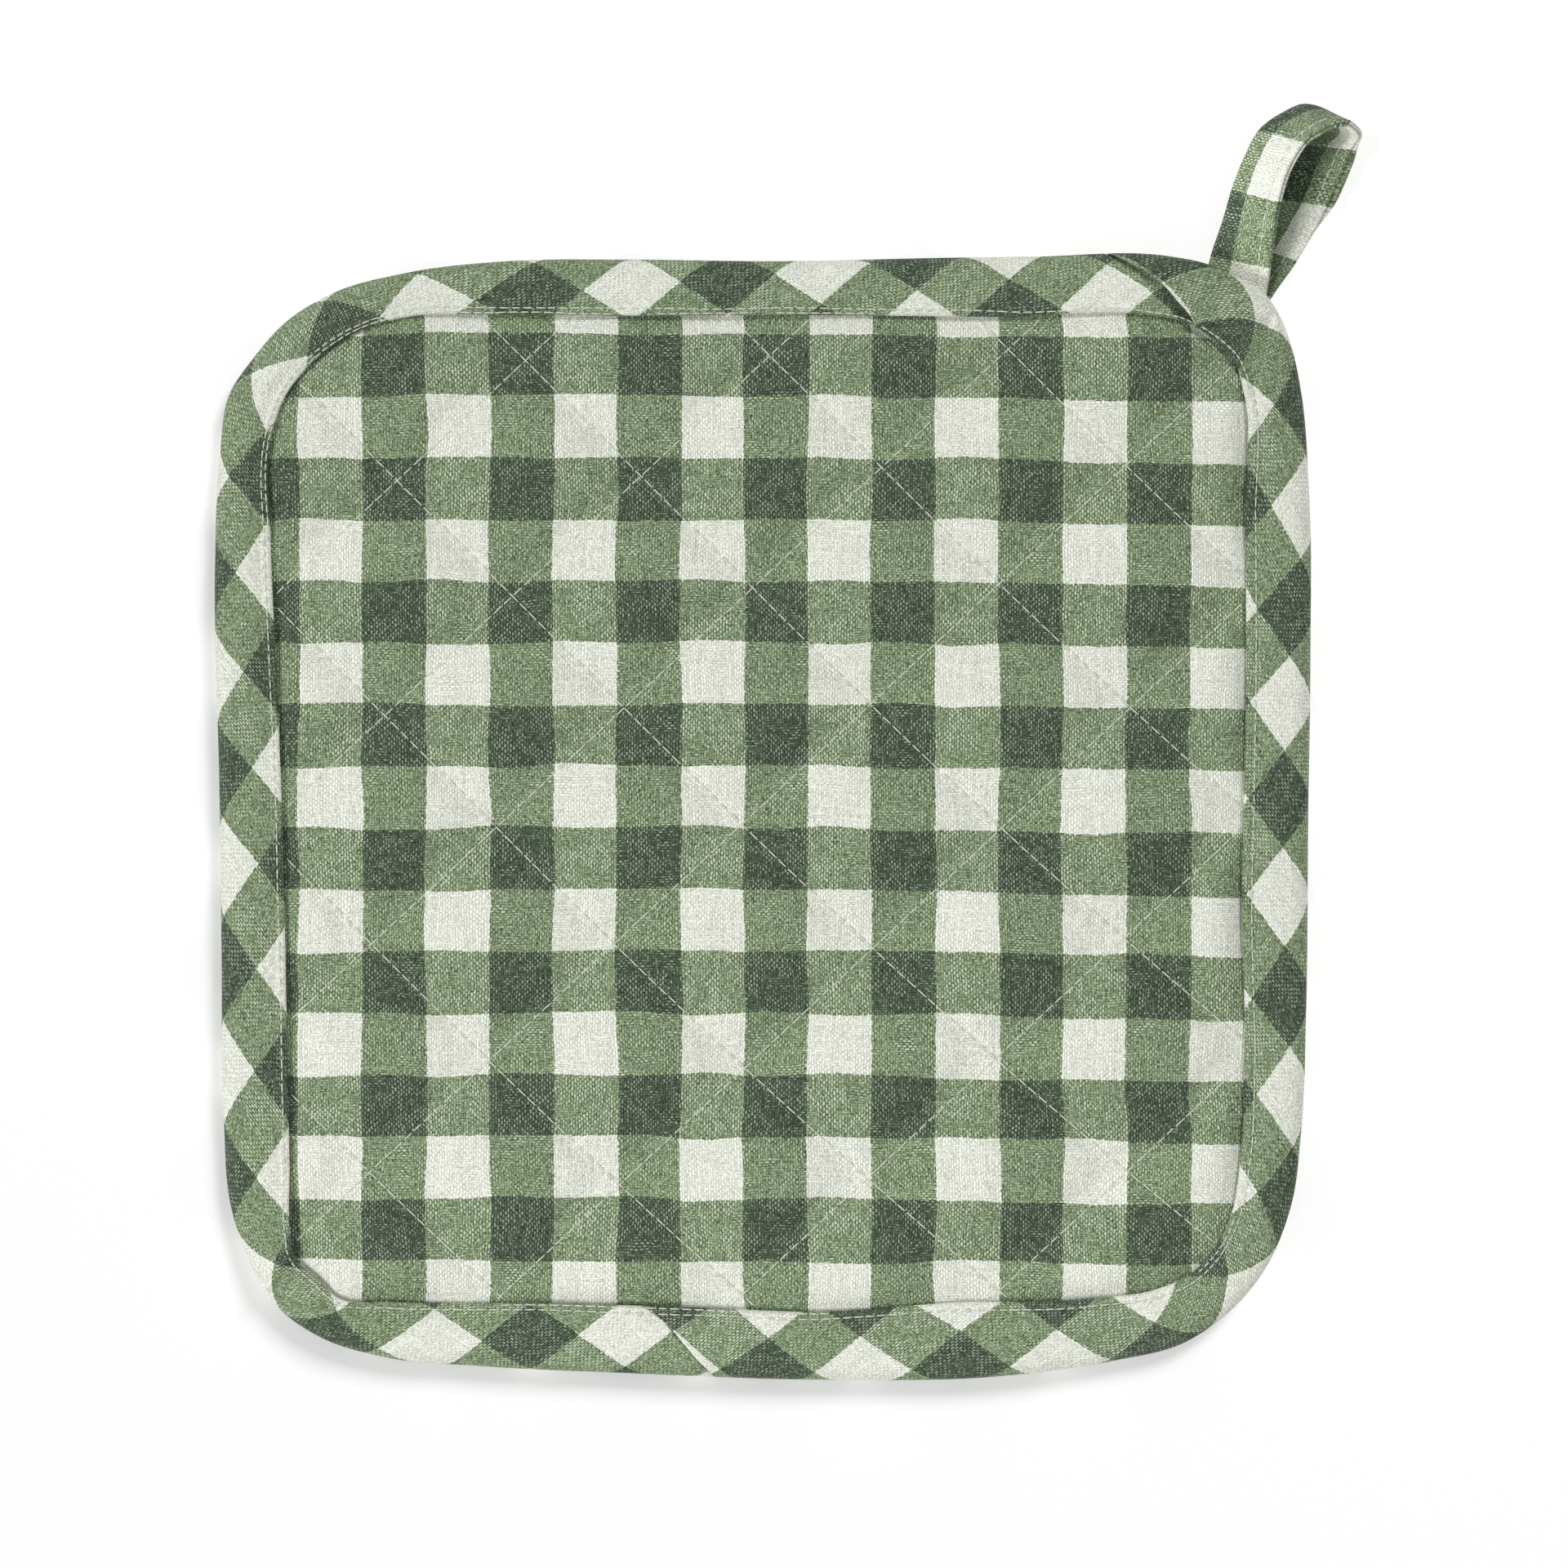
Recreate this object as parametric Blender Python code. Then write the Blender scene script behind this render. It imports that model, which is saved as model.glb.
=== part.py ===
"""A square quilted pot holder lying on its back: a quilted pad, the bias binding folded over its
edge, and a hanging loop whose two ends are sewn under the top right corner.

The plan is drawn in millimetres from the middle of the pad, +X right and +Y towards the loop's side,
with Z up from the table. The model stands with the middle of its box over the world's origin."""

import bmesh
import bpy
import numpy as np
from mathutils.geometry import delaunay_2d_cdt

MM = 0.001

# The outer edge of the binding, clockwise from the left end of the top side.
OUTLINE = (
    (-25.0, 103.8), (2.0, 103.5), (32.0, 104.1), (51.0, 104.4), (75.0, 104.2),
    (82.6, 102.6), (87.9, 100.2), (93.0, 97.0), (96.1, 92.3), (98.0, 86.9), (99.7, 79.1),
    (101.3, 62.0), (101.6, 30.0), (101.2, 0.0), (100.8, -36.0), (99.9, -58.0), (97.9, -72.4),
    (92.7, -84.5), (86.5, -91.7), (78.0, -97.5), (65.0, -100.8),
    (44.7, -103.6), (10.0, -104.3), (-25.0, -103.1), (-52.3, -101.8),
    (-70.5, -100.1), (-82.6, -96.3), (-90.5, -90.6), (-95.5, -82.5), (-98.9, -72.4),
    (-100.3, -56.0), (-100.7, -25.0), (-101.1, 5.0), (-101.9, 48.0), (-101.0, 68.0),
    (-99.1, 79.1), (-95.0, 85.2), (-89.0, 92.0), (-80.0, 97.6), (-67.0, 101.2), (-48.0, 103.5),
)  # fmt: skip

# The inner edge of the binding's face, clockwise from the same side.
FACE_EDGE = (
    (-25.0, 93.2), (10.0, 93.3), (45.0, 93.0), (70.5, 93.2), (78.4, 91.6),
    (83.3, 88.4), (87.0, 84.6), (88.8, 79.0),
    (89.3, 55.0), (89.4, 20.0), (88.7, -15.0), (89.2, -48.3), (88.3, -64.4),
    (86.8, -73.0), (83.6, -79.8), (79.0, -84.6), (72.5, -87.4), (61.0, -89.0),
    (35.0, -89.8), (10.0, -91.5), (-10.0, -90.8), (-40.0, -89.9), (-70.0, -89.6),
    (-79.0, -88.4), (-84.6, -84.6), (-87.2, -78.6),
    (-87.9, -64.4), (-88.4, -40.0), (-88.9, -12.0), (-90.2, 25.0), (-91.4, 52.0), (-91.4, 70.0),
    (-88.6, 78.4), (-83.4, 84.6), (-75.4, 90.2), (-65.9, 93.0), (-50.0, 93.4),
)  # fmt: skip

OUTLINE_POINTS = 4000  # to which both edges' curves are worked out
SPLINE_POINTS = 40  # from one row of a smooth curve to the next
STATIONS = 100  # sections of the binding, evenly spaced along the outline

# Lines of quilting, as distances in mm from the pad's middle across each set of diagonals.
FALLING_LINES = (-130.3, -98.2, -67.9, -36.2, -3.8, 28.8, 61.5, 93.6, 126.0)
RISING_LINES = (-122.0, -91.2, -60.9, -31.6, -0.9, 32.5, 63.0, 95.0, 126.0)
FALLING_BEND = 0.0004  # how the falling lines curve away towards the lower right, per mm
FALLING_BEND_FROM = -20.0  # mm across the rising lines, where that curve starts
RISING_TURN = 0.034  # how far the rising lines turn from 45 degrees
RISING_TURN_ABOUT = 30.0  # mm across the falling lines, where they cross their 45 degree lines
CORRECTIONS = 8  # rounds that place a point between lines that bend and turn
STEPS = 5  # points from one line of quilting to the next

BINDING_CLOTH = 1.1  # the folded bias strip
GAP = 0.4  # between pieces that touch, before folds and the raised corner narrow it a little
EDGE_LOW = BINDING_CLOTH + GAP  # the pad's flattened edge, inside the binding
EDGE_HIGH = 4.3
CHANNEL_HIGH = 5.2  # top of the pad at a line of quilting
PILLOW_RISE = 2.9  # from the channel to the top of a pillow
CHANNEL_LOW = 1.0  # bottom of the pad at a line of quilting
PILLOW_POWER = 0.6  # below 1 gives full pillows with narrow channels
SHOULDER = 11.0  # over this distance from the binding the pad reaches its full thickness

# The binding's section, round from its outer edge: share of the face's width, mm inwards, height.
BINDING_SECTION = (
    (0.00, 0.0, 2.9),
    (0.00, 0.4, 4.4),
    (0.00, 1.5, 5.5),
    (0.00, 3.2, 6.1),
    (0.60, 0.0, 6.3),
    (1.00, -2.0, 5.7),
    (1.00, 0.0, 5.4),
    (1.00, 0.0, 4.7),
    (0.60, 0.0, 4.7),
    (0.00, 2.6, 4.7),
    (0.00, 1.1, 3.9),
    (0.00, 1.1, 1.9),
    (0.00, 2.6, 1.1),
    (0.60, 0.0, 1.1),
    (1.00, 0.0, 1.1),
    (1.00, 0.0, 0.0),
    (0.60, 0.0, 0.0),
    (0.00, 2.8, 0.0),
    (0.00, 1.3, 0.3),
    (0.00, 0.4, 1.4),
)
NARROW_FACE = 9.0  # where the face is narrower, the rounding of the edge shrinks with it
RAISED_POINTS = (1, 2, 3, 4, 5, 6)  # of the section, on the cloth's upper side
CROWN_POINT = 4

# The pad's rings inside the binding: share of the face's width, mm inwards, low and high side.
PAD_EDGE_RINGS = (
    (0.00, 2.0, 2.2, 3.6),
    (0.00, 3.0, EDGE_LOW, EDGE_HIGH),
    (0.60, 0.0, EDGE_LOW, EDGE_HIGH),
)
# And past the binding: mm from its inner edge, low and high side.
PAD_INNER_RINGS = (
    (0.5, EDGE_LOW, EDGE_HIGH),
    (2.4, 0.5, 5.7),
)
RING_TO_QUILT = 2.2  # least distance from the last ring to a point of the quilting
INSIDE_ONLY = 1  # the plan's triangles are kept where they lie inside the first ring
SAME_POINT = 1e-6  # mm apart

# Folds across the binding, each a line from the outline to the inner edge, clockwise of which the strip
# is doubled: the line's two ends, how far the doubled cloth stands up, and over how far it eases down.
LAP = ((64.4, 103.9), (79.6, 90.9), 1.2, 30.0)
PLEAT = ((-92.4, -89.5), (-86.4, -80.5), 0.9, 13.0)
STEP_WIDTH = 1.4  # from the lower cloth to the top of the fold
# A dip across the lap's far side: its two ends, depth and half width.
CREASE = ((100.0, 80.0), (89.5, 85.5), 0.8, 4.0)
# The slow rise and fall of a hand-guided strip: waves round the outline, their height and phase.
UNEVENNESS = ((11, 0.22, 0.7), (19, 0.16, 2.1))
SECTION_SMOOTHING = (1.0, 2.0, 3.0, 2.0, 1.0)  # weights that even out where sections meet the inner edge
FOLD_STATIONS = 9  # extra sections near each fold
FOLD_REACH = 16.0  # along the outline to each side of a fold

# The hanging loop, from the end under the corner up one side, over the top and back: the folded edge of
# the strip, then its stitched edge, as X, Y and height.
LOOP_EDGES = (
    ((80.3, 93.5, 2.7), (91.9, 90.6, 2.7)),
    ((81.9, 100.0, 2.7), (93.4, 96.9, 2.75)),
    ((83.3, 105.4, 3.1), (94.1, 102.9, 6.2)),
    ((85.3, 111.1, 4.4), (94.6, 109.0, 11.2)),
    ((87.2, 117.4, 5.9), (95.4, 114.4, 13.9)),
    ((89.2, 122.4, 6.7), (96.9, 119.4, 15.3)),
    ((92.1, 127.6, 7.1), (100.0, 124.5, 15.7)),
    ((96.0, 130.4, 7.0), (102.4, 126.2, 15.8)),
    ((100.0, 132.0, 6.0), (104.4, 127.4, 15.6)),
    ((104.9, 131.2, 3.7), (107.9, 128.5, 14.4)),
    ((103.0, 128.2, 2.0), (110.1, 126.7, 11.0)),
    ((97.6, 124.8, 2.2), (108.8, 123.3, 6.4)),
    ((93.0, 115.6, 1.6), (104.7, 113.6, 4.0)),
    ((87.9, 107.4, 1.0), (99.2, 103.6, 1.9)),
    ((83.4, 101.3, 0.8), (94.6, 96.9, 0.85)),
    ((79.9, 93.1, 0.8), (91.4, 89.6, 0.8)),
)
LOOP_CLOTH = 1.6  # the strip's folded layers
LOOP_STATIONS = 46
# Its section: share of the way from the folded edge, and side of the cloth.
LOOP_SECTION = (
    (0.00, 0.0),
    (0.05, 1.0),
    (0.50, 1.0),
    (0.95, 1.0),
    (1.00, 0.0),
    (0.95, -1.0),
    (0.50, -1.0),
    (0.05, -1.0),
)

# The corner is raised over the loop's ends: level around their middle, then easing down to the table.
LOOP_SEAT = (86.6, 95.6)
SEAT_RISE = 3.85
SEAT_LEVEL = 9.5
SEAT_EASE = 30.0

GREEN = (0.22, 0.32, 0.19)
DARK_GREEN = (0.11, 0.15, 0.12)
PALE_GREEN = (0.45, 0.52, 0.40)
CLOTH_ROUGHNESS = 0.9
SHARP_ANGLE = 50.0  # degrees between faces past which an edge stays sharp


def smoothstep(share):
    """0 to 1 with a level start and end."""
    share = np.clip(share, 0.0, 1.0)
    return share * share * (3.0 - 2.0 * share)


def spline(rows, count, closed):
    """count points, evenly spaced, of a smooth curve through the rows, and its length: cubic pieces whose
    direction at each row is the weighted mean of the chords on its two sides. Rows may hold more columns
    after X, Y and Z, which are carried along."""
    knots = np.array(rows, float)
    if closed:
        knots = np.vstack([knots, knots[:1]])
    chords = np.diff(knots, axis=0)
    lengths = np.linalg.norm(chords[:, :3], axis=1)
    slopes = chords / lengths[:, None]
    before = np.vstack([slopes[-1:], slopes]) if closed else np.vstack([slopes[:1], slopes])
    after = np.vstack([slopes, slopes[:1]]) if closed else np.vstack([slopes, slopes[-1:]])
    near = np.concatenate([lengths[-1:], lengths]) if closed else np.concatenate([lengths[:1], lengths])
    far = np.concatenate([lengths, lengths[:1]]) if closed else np.concatenate([lengths, lengths[-1:]])
    tangents = (before * far[:, None] + after * near[:, None]) / (near + far)[:, None]
    share = np.linspace(0.0, 1.0, SPLINE_POINTS, endpoint=False)[None, :, None]
    start, end = knots[:-1, None], knots[1:, None]
    leave = (tangents[:-1] * lengths[:, None])[:, None]
    arrive = (tangents[1:] * lengths[:, None])[:, None]
    square, cube = share**2, share**3
    dense = (
        (2 * cube - 3 * square + 1) * start
        + (cube - 2 * square + share) * leave
        + (3 * square - 2 * cube) * end
        + (cube - square) * arrive
    ).reshape(-1, knots.shape[1])
    dense = np.vstack([dense, knots[-1:]])
    run = np.concatenate([[0.0], np.cumsum(np.linalg.norm(np.diff(dense[:, :3], axis=0), axis=1))])
    wanted = np.linspace(0.0, run[-1], count, endpoint=not closed)
    return np.stack([np.interp(wanted, run, column) for column in dense.T], axis=1), run[-1]


def inward(ring):
    """Unit vectors pointing into a clockwise ring, square to it."""
    along = np.roll(ring, -1, axis=0) - np.roll(ring, 1, axis=0)
    along /= np.linalg.norm(along, axis=1)[:, None]
    return np.stack([along[:, 1], -along[:, 0]], axis=1)


def nearest(points, targets):
    """The index of the point nearest to each target."""
    return np.linalg.norm(points[None] - np.array(targets, float)[:, None], axis=2).argmin(axis=1)


def seat_lift(plan):
    """How far the loop's ends raise the pad and the binding at a place on the plan."""
    away = np.linalg.norm(plan - np.array(LOOP_SEAT), axis=-1)
    return SEAT_RISE * smoothstep(1.0 - (away - SEAT_LEVEL) / SEAT_EASE)


def past_line(plan, ends):
    """How far plan points lie clockwise of the line through two ends, the first one on the outline."""
    start, end = np.array(ends, float)
    along = (end - start) / np.linalg.norm(end - start)
    return (plan[..., 0] - start[0]) * -along[1] + (plan[..., 1] - start[1]) * along[0]


def doubled_cloth(plan):
    """How much higher the strip's upper side lies where it is lapped, pleated or creased: beside a fold it
    steps up and then eases down, and a crease is a soft trough."""
    rise = np.zeros(plan.shape[:-1])
    for start, end, height, ease in (LAP, PLEAT):
        past = past_line(plan, (start, end))
        near = np.linalg.norm(plan - np.array(start), axis=-1) < 2 * ease
        rise += near * height * smoothstep(past / STEP_WIDTH) * smoothstep(1.0 - past / ease)
    start, end, depth, half_width = CREASE
    near = np.linalg.norm(plan - np.array(start), axis=-1) < 2 * FOLD_REACH
    return rise - near * depth * smoothstep(1.0 - np.abs(past_line(plan, (start, end))) / half_width)


class BindingPlan:
    """The binding's sections seen from above: where each one meets the outline and the face's inner edge."""

    def __init__(self):
        fine = OUTLINE_POINTS
        outline, self.length = spline(OUTLINE, fine, True)
        face_edge, _ = spline(FACE_EDGE, fine, True)
        distances = list(np.arange(STATIONS) * self.length / STATIONS)
        for fold in (LAP, PLEAT):
            middle = np.mean(fold[:2], axis=0)
            at = nearest(outline, [middle])[0] * self.length / fine
            apart = 2 * FOLD_REACH / FOLD_STATIONS
            distances = [d for d in distances if abs(d - at) > FOLD_REACH]
            first = at - (FOLD_STATIONS - 1) / 2 * apart
            distances += [first + number * apart for number in range(FOLD_STATIONS)]
        self.distances = np.sort(np.array(distances))
        self.outer = outline[(self.distances / self.length * fine).astype(int) % fine]
        turned = np.unwrap(nearest(face_edge, self.outer) * 2 * np.pi / fine)
        weights = np.array(SECTION_SMOOTHING) / sum(SECTION_SMOOTHING)
        reach = len(weights) // 2
        wrapped = np.concatenate([turned[-reach:] - 2 * np.pi, turned, turned[:reach] + 2 * np.pi])
        matched = np.convolve(wrapped, weights, mode="valid") / (2 * np.pi)
        self.inner = face_edge[(matched * fine).astype(int) % fine]
        self.width = np.linalg.norm(self.inner - self.outer, axis=1)

    def at(self, share, inwards):
        """The plan points of all sections at a share of the face's width plus mm inwards."""
        inset = share * self.width + inwards * np.minimum(1.0, self.width / NARROW_FACE)
        return self.outer + (self.inner - self.outer) * (inset / self.width)[:, None]

    def unevenness(self):
        """How much higher or lower the face's crown lies at each section."""
        turn = 2 * np.pi * self.distances / self.length
        return sum(height * np.sin(waves * turn + phase) for waves, height, phase in UNEVENNESS)


def lines_to_steps(plan):
    """The place of plan points between the lines of quilting, counted in lines across both diagonals."""
    across_falling = (plan[:, 0] + plan[:, 1]) / np.sqrt(2)
    across_rising = (plan[:, 0] - plan[:, 1]) / np.sqrt(2)
    falling = across_falling - FALLING_BEND * np.maximum(across_rising - FALLING_BEND_FROM, 0.0) ** 2
    rising = across_rising - RISING_TURN * (across_falling - RISING_TURN_ABOUT)
    return (
        np.interp(falling, FALLING_LINES, np.arange(len(FALLING_LINES))),
        np.interp(rising, RISING_LINES, np.arange(len(RISING_LINES))),
    )


def steps_to_lines(falling_step, rising_step):
    """The plan points of places between the lines: lines_to_steps undone by a few rounds of correction."""
    falling = np.interp(falling_step, np.arange(len(FALLING_LINES)), FALLING_LINES)
    rising = np.interp(rising_step, np.arange(len(RISING_LINES)), RISING_LINES)
    across_falling, across_rising = falling, rising
    for _ in range(CORRECTIONS):
        across_falling = falling + FALLING_BEND * np.maximum(across_rising - FALLING_BEND_FROM, 0.0) ** 2
        across_rising = rising + RISING_TURN * (across_falling - RISING_TURN_ABOUT)
    x, y = across_falling + across_rising, across_falling - across_rising
    return np.stack([x, y], axis=1) / np.sqrt(2)


def pillow(plan):
    """0 on a line of quilting and 1 in the middle of a diamond."""
    falling, rising = lines_to_steps(plan)
    return np.abs(np.sin(np.pi * falling) * np.sin(np.pi * rising)) ** PILLOW_POWER


def quilt_heights(plan, from_binding):
    """The low and high side of the quilted pad at plan points, whose distances from the binding are given."""
    puff = pillow(plan)
    full = smoothstep(from_binding / SHOULDER)
    last_low, last_high = PAD_INNER_RINGS[-1][1:]
    high = last_high + (CHANNEL_HIGH + PILLOW_RISE * puff - last_high) * full
    on_line = np.clip(1.0 - puff / pillow_at_first_step(), 0.0, 1.0)
    low = CHANNEL_LOW * on_line
    beside_ring = from_binding < PAD_INNER_RINGS[-1][0]
    return np.where(beside_ring, last_low, low), high


def pillow_at_first_step():
    """The height share one step away from a line, beside the middle of a diamond's side."""
    return np.sin(np.pi / STEPS) ** (2 * PILLOW_POWER)


def mesh_object(name, points, faces, colour):
    """A smooth object of the given points, in mm, and faces, with normals outwards and its own material."""
    mesh = bpy.data.meshes.new(name)
    mesh.from_pydata((np.asarray(points) * MM).tolist(), [], [list(map(int, face)) for face in faces])
    shape = bmesh.new()
    shape.from_mesh(mesh)
    bmesh.ops.recalc_face_normals(shape, faces=shape.faces)
    shape.to_mesh(mesh)
    shape.free()
    mesh.shade_smooth()
    mesh.set_sharp_from_angle(angle=np.radians(SHARP_ANGLE))
    material = bpy.data.materials.new(name + "_cloth")
    material.use_nodes = True
    shader = material.node_tree.nodes["Principled BSDF"]
    shader.inputs["Base Color"].default_value = (*colour, 1.0)
    shader.inputs["Roughness"].default_value = CLOTH_ROUGHNESS
    shader.inputs["Metallic"].default_value = 0.0
    mesh.materials.append(material)
    made = bpy.data.objects.new(name, mesh)
    bpy.context.scene.collection.objects.link(made)
    return made


def loft_faces(rows, columns, closed_rows):
    """Quads between neighbouring rows of closed sections, and end caps where the rows don't close."""
    faces = []
    for row in range(rows if closed_rows else rows - 1):
        here, there = row * columns, (row + 1) % rows * columns
        for column in range(columns):
            beside = (column + 1) % columns
            faces.append((here + column, here + beside, there + beside, there + column))
    if not closed_rows:
        faces.append(tuple(range(columns)))
        faces.append(tuple((rows - 1) * columns + column for column in range(columns)))
    return faces


def edge_binding(binding):
    """The bias strip, folded over the pad's edge: its section carried round the outline."""
    uneven = binding.unevenness()
    columns = []
    for number, (share, inwards, height) in enumerate(BINDING_SECTION):
        plan = binding.at(share, inwards)
        level = height + seat_lift(plan)
        if number in RAISED_POINTS:
            level = level + doubled_cloth(plan) * min(1.0, number / 2)
        if number == CROWN_POINT:
            level = level + uneven
        columns.append(np.column_stack([plan, level]))
    points = np.stack(columns, axis=1).reshape(-1, 3)
    faces = loft_faces(len(binding.distances), len(BINDING_SECTION), True)
    return mesh_object("edge_binding", points, faces, GREEN)


def quilted_pad(binding):
    """The quilted pad: one plan of triangles, with rings along its edge and points on the lines of
    quilting, raised to the low side and to the high side and closed round the edge."""
    count = len(binding.distances)
    rings = [binding.at(share, inwards) for share, inwards, _, _ in PAD_EDGE_RINGS]
    towards_middle = inward(binding.inner)
    rings += [binding.inner + towards_middle * inwards for inwards, _, _ in PAD_INNER_RINGS]
    ring_heights = [row[2:] for row in PAD_EDGE_RINGS] + [row[1:] for row in PAD_INNER_RINGS]
    low = [np.full(count, heights[0]) for heights in ring_heights]
    high = [np.full(count, heights[1]) for heights in ring_heights]

    counts = [(len(lines) - 1) * STEPS + 1 for lines in (FALLING_LINES, RISING_LINES)]
    falling, rising = np.meshgrid(*(np.arange(number) for number in counts), indexing="ij")
    plan = steps_to_lines(falling.ravel() / STEPS, rising.ravel() / STEPS)
    to_ring = plan[:, None] - rings[-1][None]
    closest = np.linalg.norm(to_ring, axis=2).argmin(axis=1)
    depth = np.einsum("ij,ij->i", to_ring[np.arange(len(plan)), closest], towards_middle[closest])
    kept = depth > RING_TO_QUILT
    kept_plan = plan[kept]
    quilt_low, quilt_high = quilt_heights(kept_plan, depth[kept] + PAD_INNER_RINGS[-1][0])

    plan_points = np.vstack(rings + [kept_plan])
    low = np.concatenate(low + [quilt_low]) + seat_lift(plan_points)
    high = np.concatenate(high + [quilt_high]) + seat_lift(plan_points)

    edges = []
    for ring in range(1, len(rings)):
        edges += [(ring * count + k, ring * count + (k + 1) % count) for k in range(count)]
    number_of = np.full(len(plan), -1)
    number_of[kept] = np.arange(kept.sum()) + len(rings) * count
    number_of = number_of.reshape(counts)
    on_falling = number_of[::STEPS, :]
    on_rising = number_of[:, ::STEPS].T
    for lines in (on_falling, on_rising):
        for line in lines:
            edges += [(int(a), int(b)) for a, b in zip(line[:-1], line[1:]) if a >= 0 and b >= 0]
    corners = [tuple(map(float, point)) for point in plan_points]
    _, _, plan_faces, sources, _, _ = delaunay_2d_cdt(corners, edges, [range(count)], INSIDE_ONLY, SAME_POINT)
    triangles = [tuple(sources[corner][0] for corner in face) for face in plan_faces]

    total = len(plan_points)
    points = np.vstack([np.column_stack([plan_points, high]), np.column_stack([plan_points, low])])
    faces = list(triangles)
    faces += [tuple(total + corner for corner in reversed(face)) for face in triangles]
    faces += [(k, (k + 1) % count, total + (k + 1) % count, total + k) for k in range(count)]
    return mesh_object("quilted_pad", points, faces, DARK_GREEN)


def hanging_loop():
    """The loop's strip: a flat section carried along the smooth curves through its two edges."""
    rows = [folded + stitched for folded, stitched in LOOP_EDGES]
    edges, _ = spline(rows, LOOP_STATIONS, False)
    edges[:, 2::3] = np.maximum(edges[:, 2::3], LOOP_CLOTH / 2)  # the lower end lies flat on the table
    folded, stitched = edges[:, :3], edges[:, 3:]
    middle = (folded + stitched) / 2
    along = np.gradient(middle, axis=0)
    across = stitched - folded
    square = np.cross(across, along)
    square /= np.linalg.norm(square, axis=1)[:, None]
    columns = [folded + across * share + square * (side * LOOP_CLOTH / 2) for share, side in LOOP_SECTION]
    points = np.stack(columns, axis=1).reshape(-1, 3)
    faces = loft_faces(LOOP_STATIONS, len(LOOP_SECTION), False)
    return mesh_object("hanging_loop", points, faces, PALE_GREEN)


def stand_over_origin(pieces):
    """Parents the pieces to an empty that brings their box's middle over the origin and its floor to zero."""
    corners = np.array([vertex.co[:] for piece in pieces for vertex in piece.data.vertices])
    lowest, highest = corners.min(axis=0), corners.max(axis=0)
    middle = bpy.data.objects.new("pot_holder_middle", None)
    middle.location = (-(lowest[0] + highest[0]) / 2, -(lowest[1] + highest[1]) / 2, -lowest[2])
    bpy.context.scene.collection.objects.link(middle)
    for piece in pieces:
        piece.parent = middle


def main():
    for old in list(bpy.data.objects):
        bpy.data.objects.remove(old, do_unlink=True)
    binding = BindingPlan()
    stand_over_origin([quilted_pad(binding), edge_binding(binding), hanging_loop()])


main()
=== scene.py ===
"""Dresses the pot holder: quilted gingham, a bias binding with its stitching, and the hanging loop.

The plan is drawn in millimetres from the middle of the pad, +X right and +Y towards the loop's side. Every
function below works in those millimetres, and the mesh helper moves the points to where the solids stand."""

from functools import partial

import bmesh
import bpy
import numpy as np
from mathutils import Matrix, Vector


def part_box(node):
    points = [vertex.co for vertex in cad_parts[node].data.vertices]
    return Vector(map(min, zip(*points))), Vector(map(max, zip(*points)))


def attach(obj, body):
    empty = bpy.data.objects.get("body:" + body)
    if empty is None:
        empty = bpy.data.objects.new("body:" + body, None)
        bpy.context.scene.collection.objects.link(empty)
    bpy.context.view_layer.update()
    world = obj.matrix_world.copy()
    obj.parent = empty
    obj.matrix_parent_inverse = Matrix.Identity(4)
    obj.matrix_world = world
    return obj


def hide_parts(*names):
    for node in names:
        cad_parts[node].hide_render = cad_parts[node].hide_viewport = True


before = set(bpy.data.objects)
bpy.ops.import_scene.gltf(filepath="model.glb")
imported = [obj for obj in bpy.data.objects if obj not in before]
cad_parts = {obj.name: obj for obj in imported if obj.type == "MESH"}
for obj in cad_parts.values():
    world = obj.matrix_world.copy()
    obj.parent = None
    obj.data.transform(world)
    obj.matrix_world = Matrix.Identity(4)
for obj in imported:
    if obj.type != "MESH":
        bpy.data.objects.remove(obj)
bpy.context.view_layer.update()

bl_info = {
    "name": "Quilted pot holder",
    "version": (1, 0, 0),
    "blender": (4, 5, 0),
    "location": "3D View > Sidebar > Pot holder",
    "description": "Quilted gingham pot holder with a bias binding and a hanging loop",
    "category": "Add Mesh",
}

MM = 0.001
UP = (0.0, 0.0, 1.0)
CLOTH_UV = "Cloth"  # coordinates that count the stripes of the check

# The outer edge of the binding, clockwise from the left end of the top side.
OUTLINE = (
    (-25.0, 103.8), (2.0, 103.5), (32.0, 104.1), (51.0, 104.4), (75.0, 104.2),
    (82.6, 102.6), (87.9, 100.2), (93.0, 97.0), (96.1, 92.3), (98.0, 86.9), (99.7, 79.1),
    (101.3, 62.0), (101.6, 30.0), (101.2, 0.0), (100.8, -36.0), (99.9, -58.0), (97.9, -72.4),
    (92.7, -84.5), (86.5, -91.7), (78.0, -97.5), (65.0, -100.8),
    (44.7, -103.6), (10.0, -104.3), (-25.0, -103.1), (-52.3, -101.8),
    (-70.5, -100.1), (-82.6, -96.3), (-90.5, -90.6), (-95.5, -82.5), (-98.9, -72.4),
    (-100.3, -56.0), (-100.7, -25.0), (-101.1, 5.0), (-101.9, 48.0), (-101.0, 68.0),
    (-99.1, 79.1), (-95.0, 85.2), (-89.0, 92.0), (-80.0, 97.6), (-67.0, 101.2), (-48.0, 103.5),
)  # fmt: skip

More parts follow.
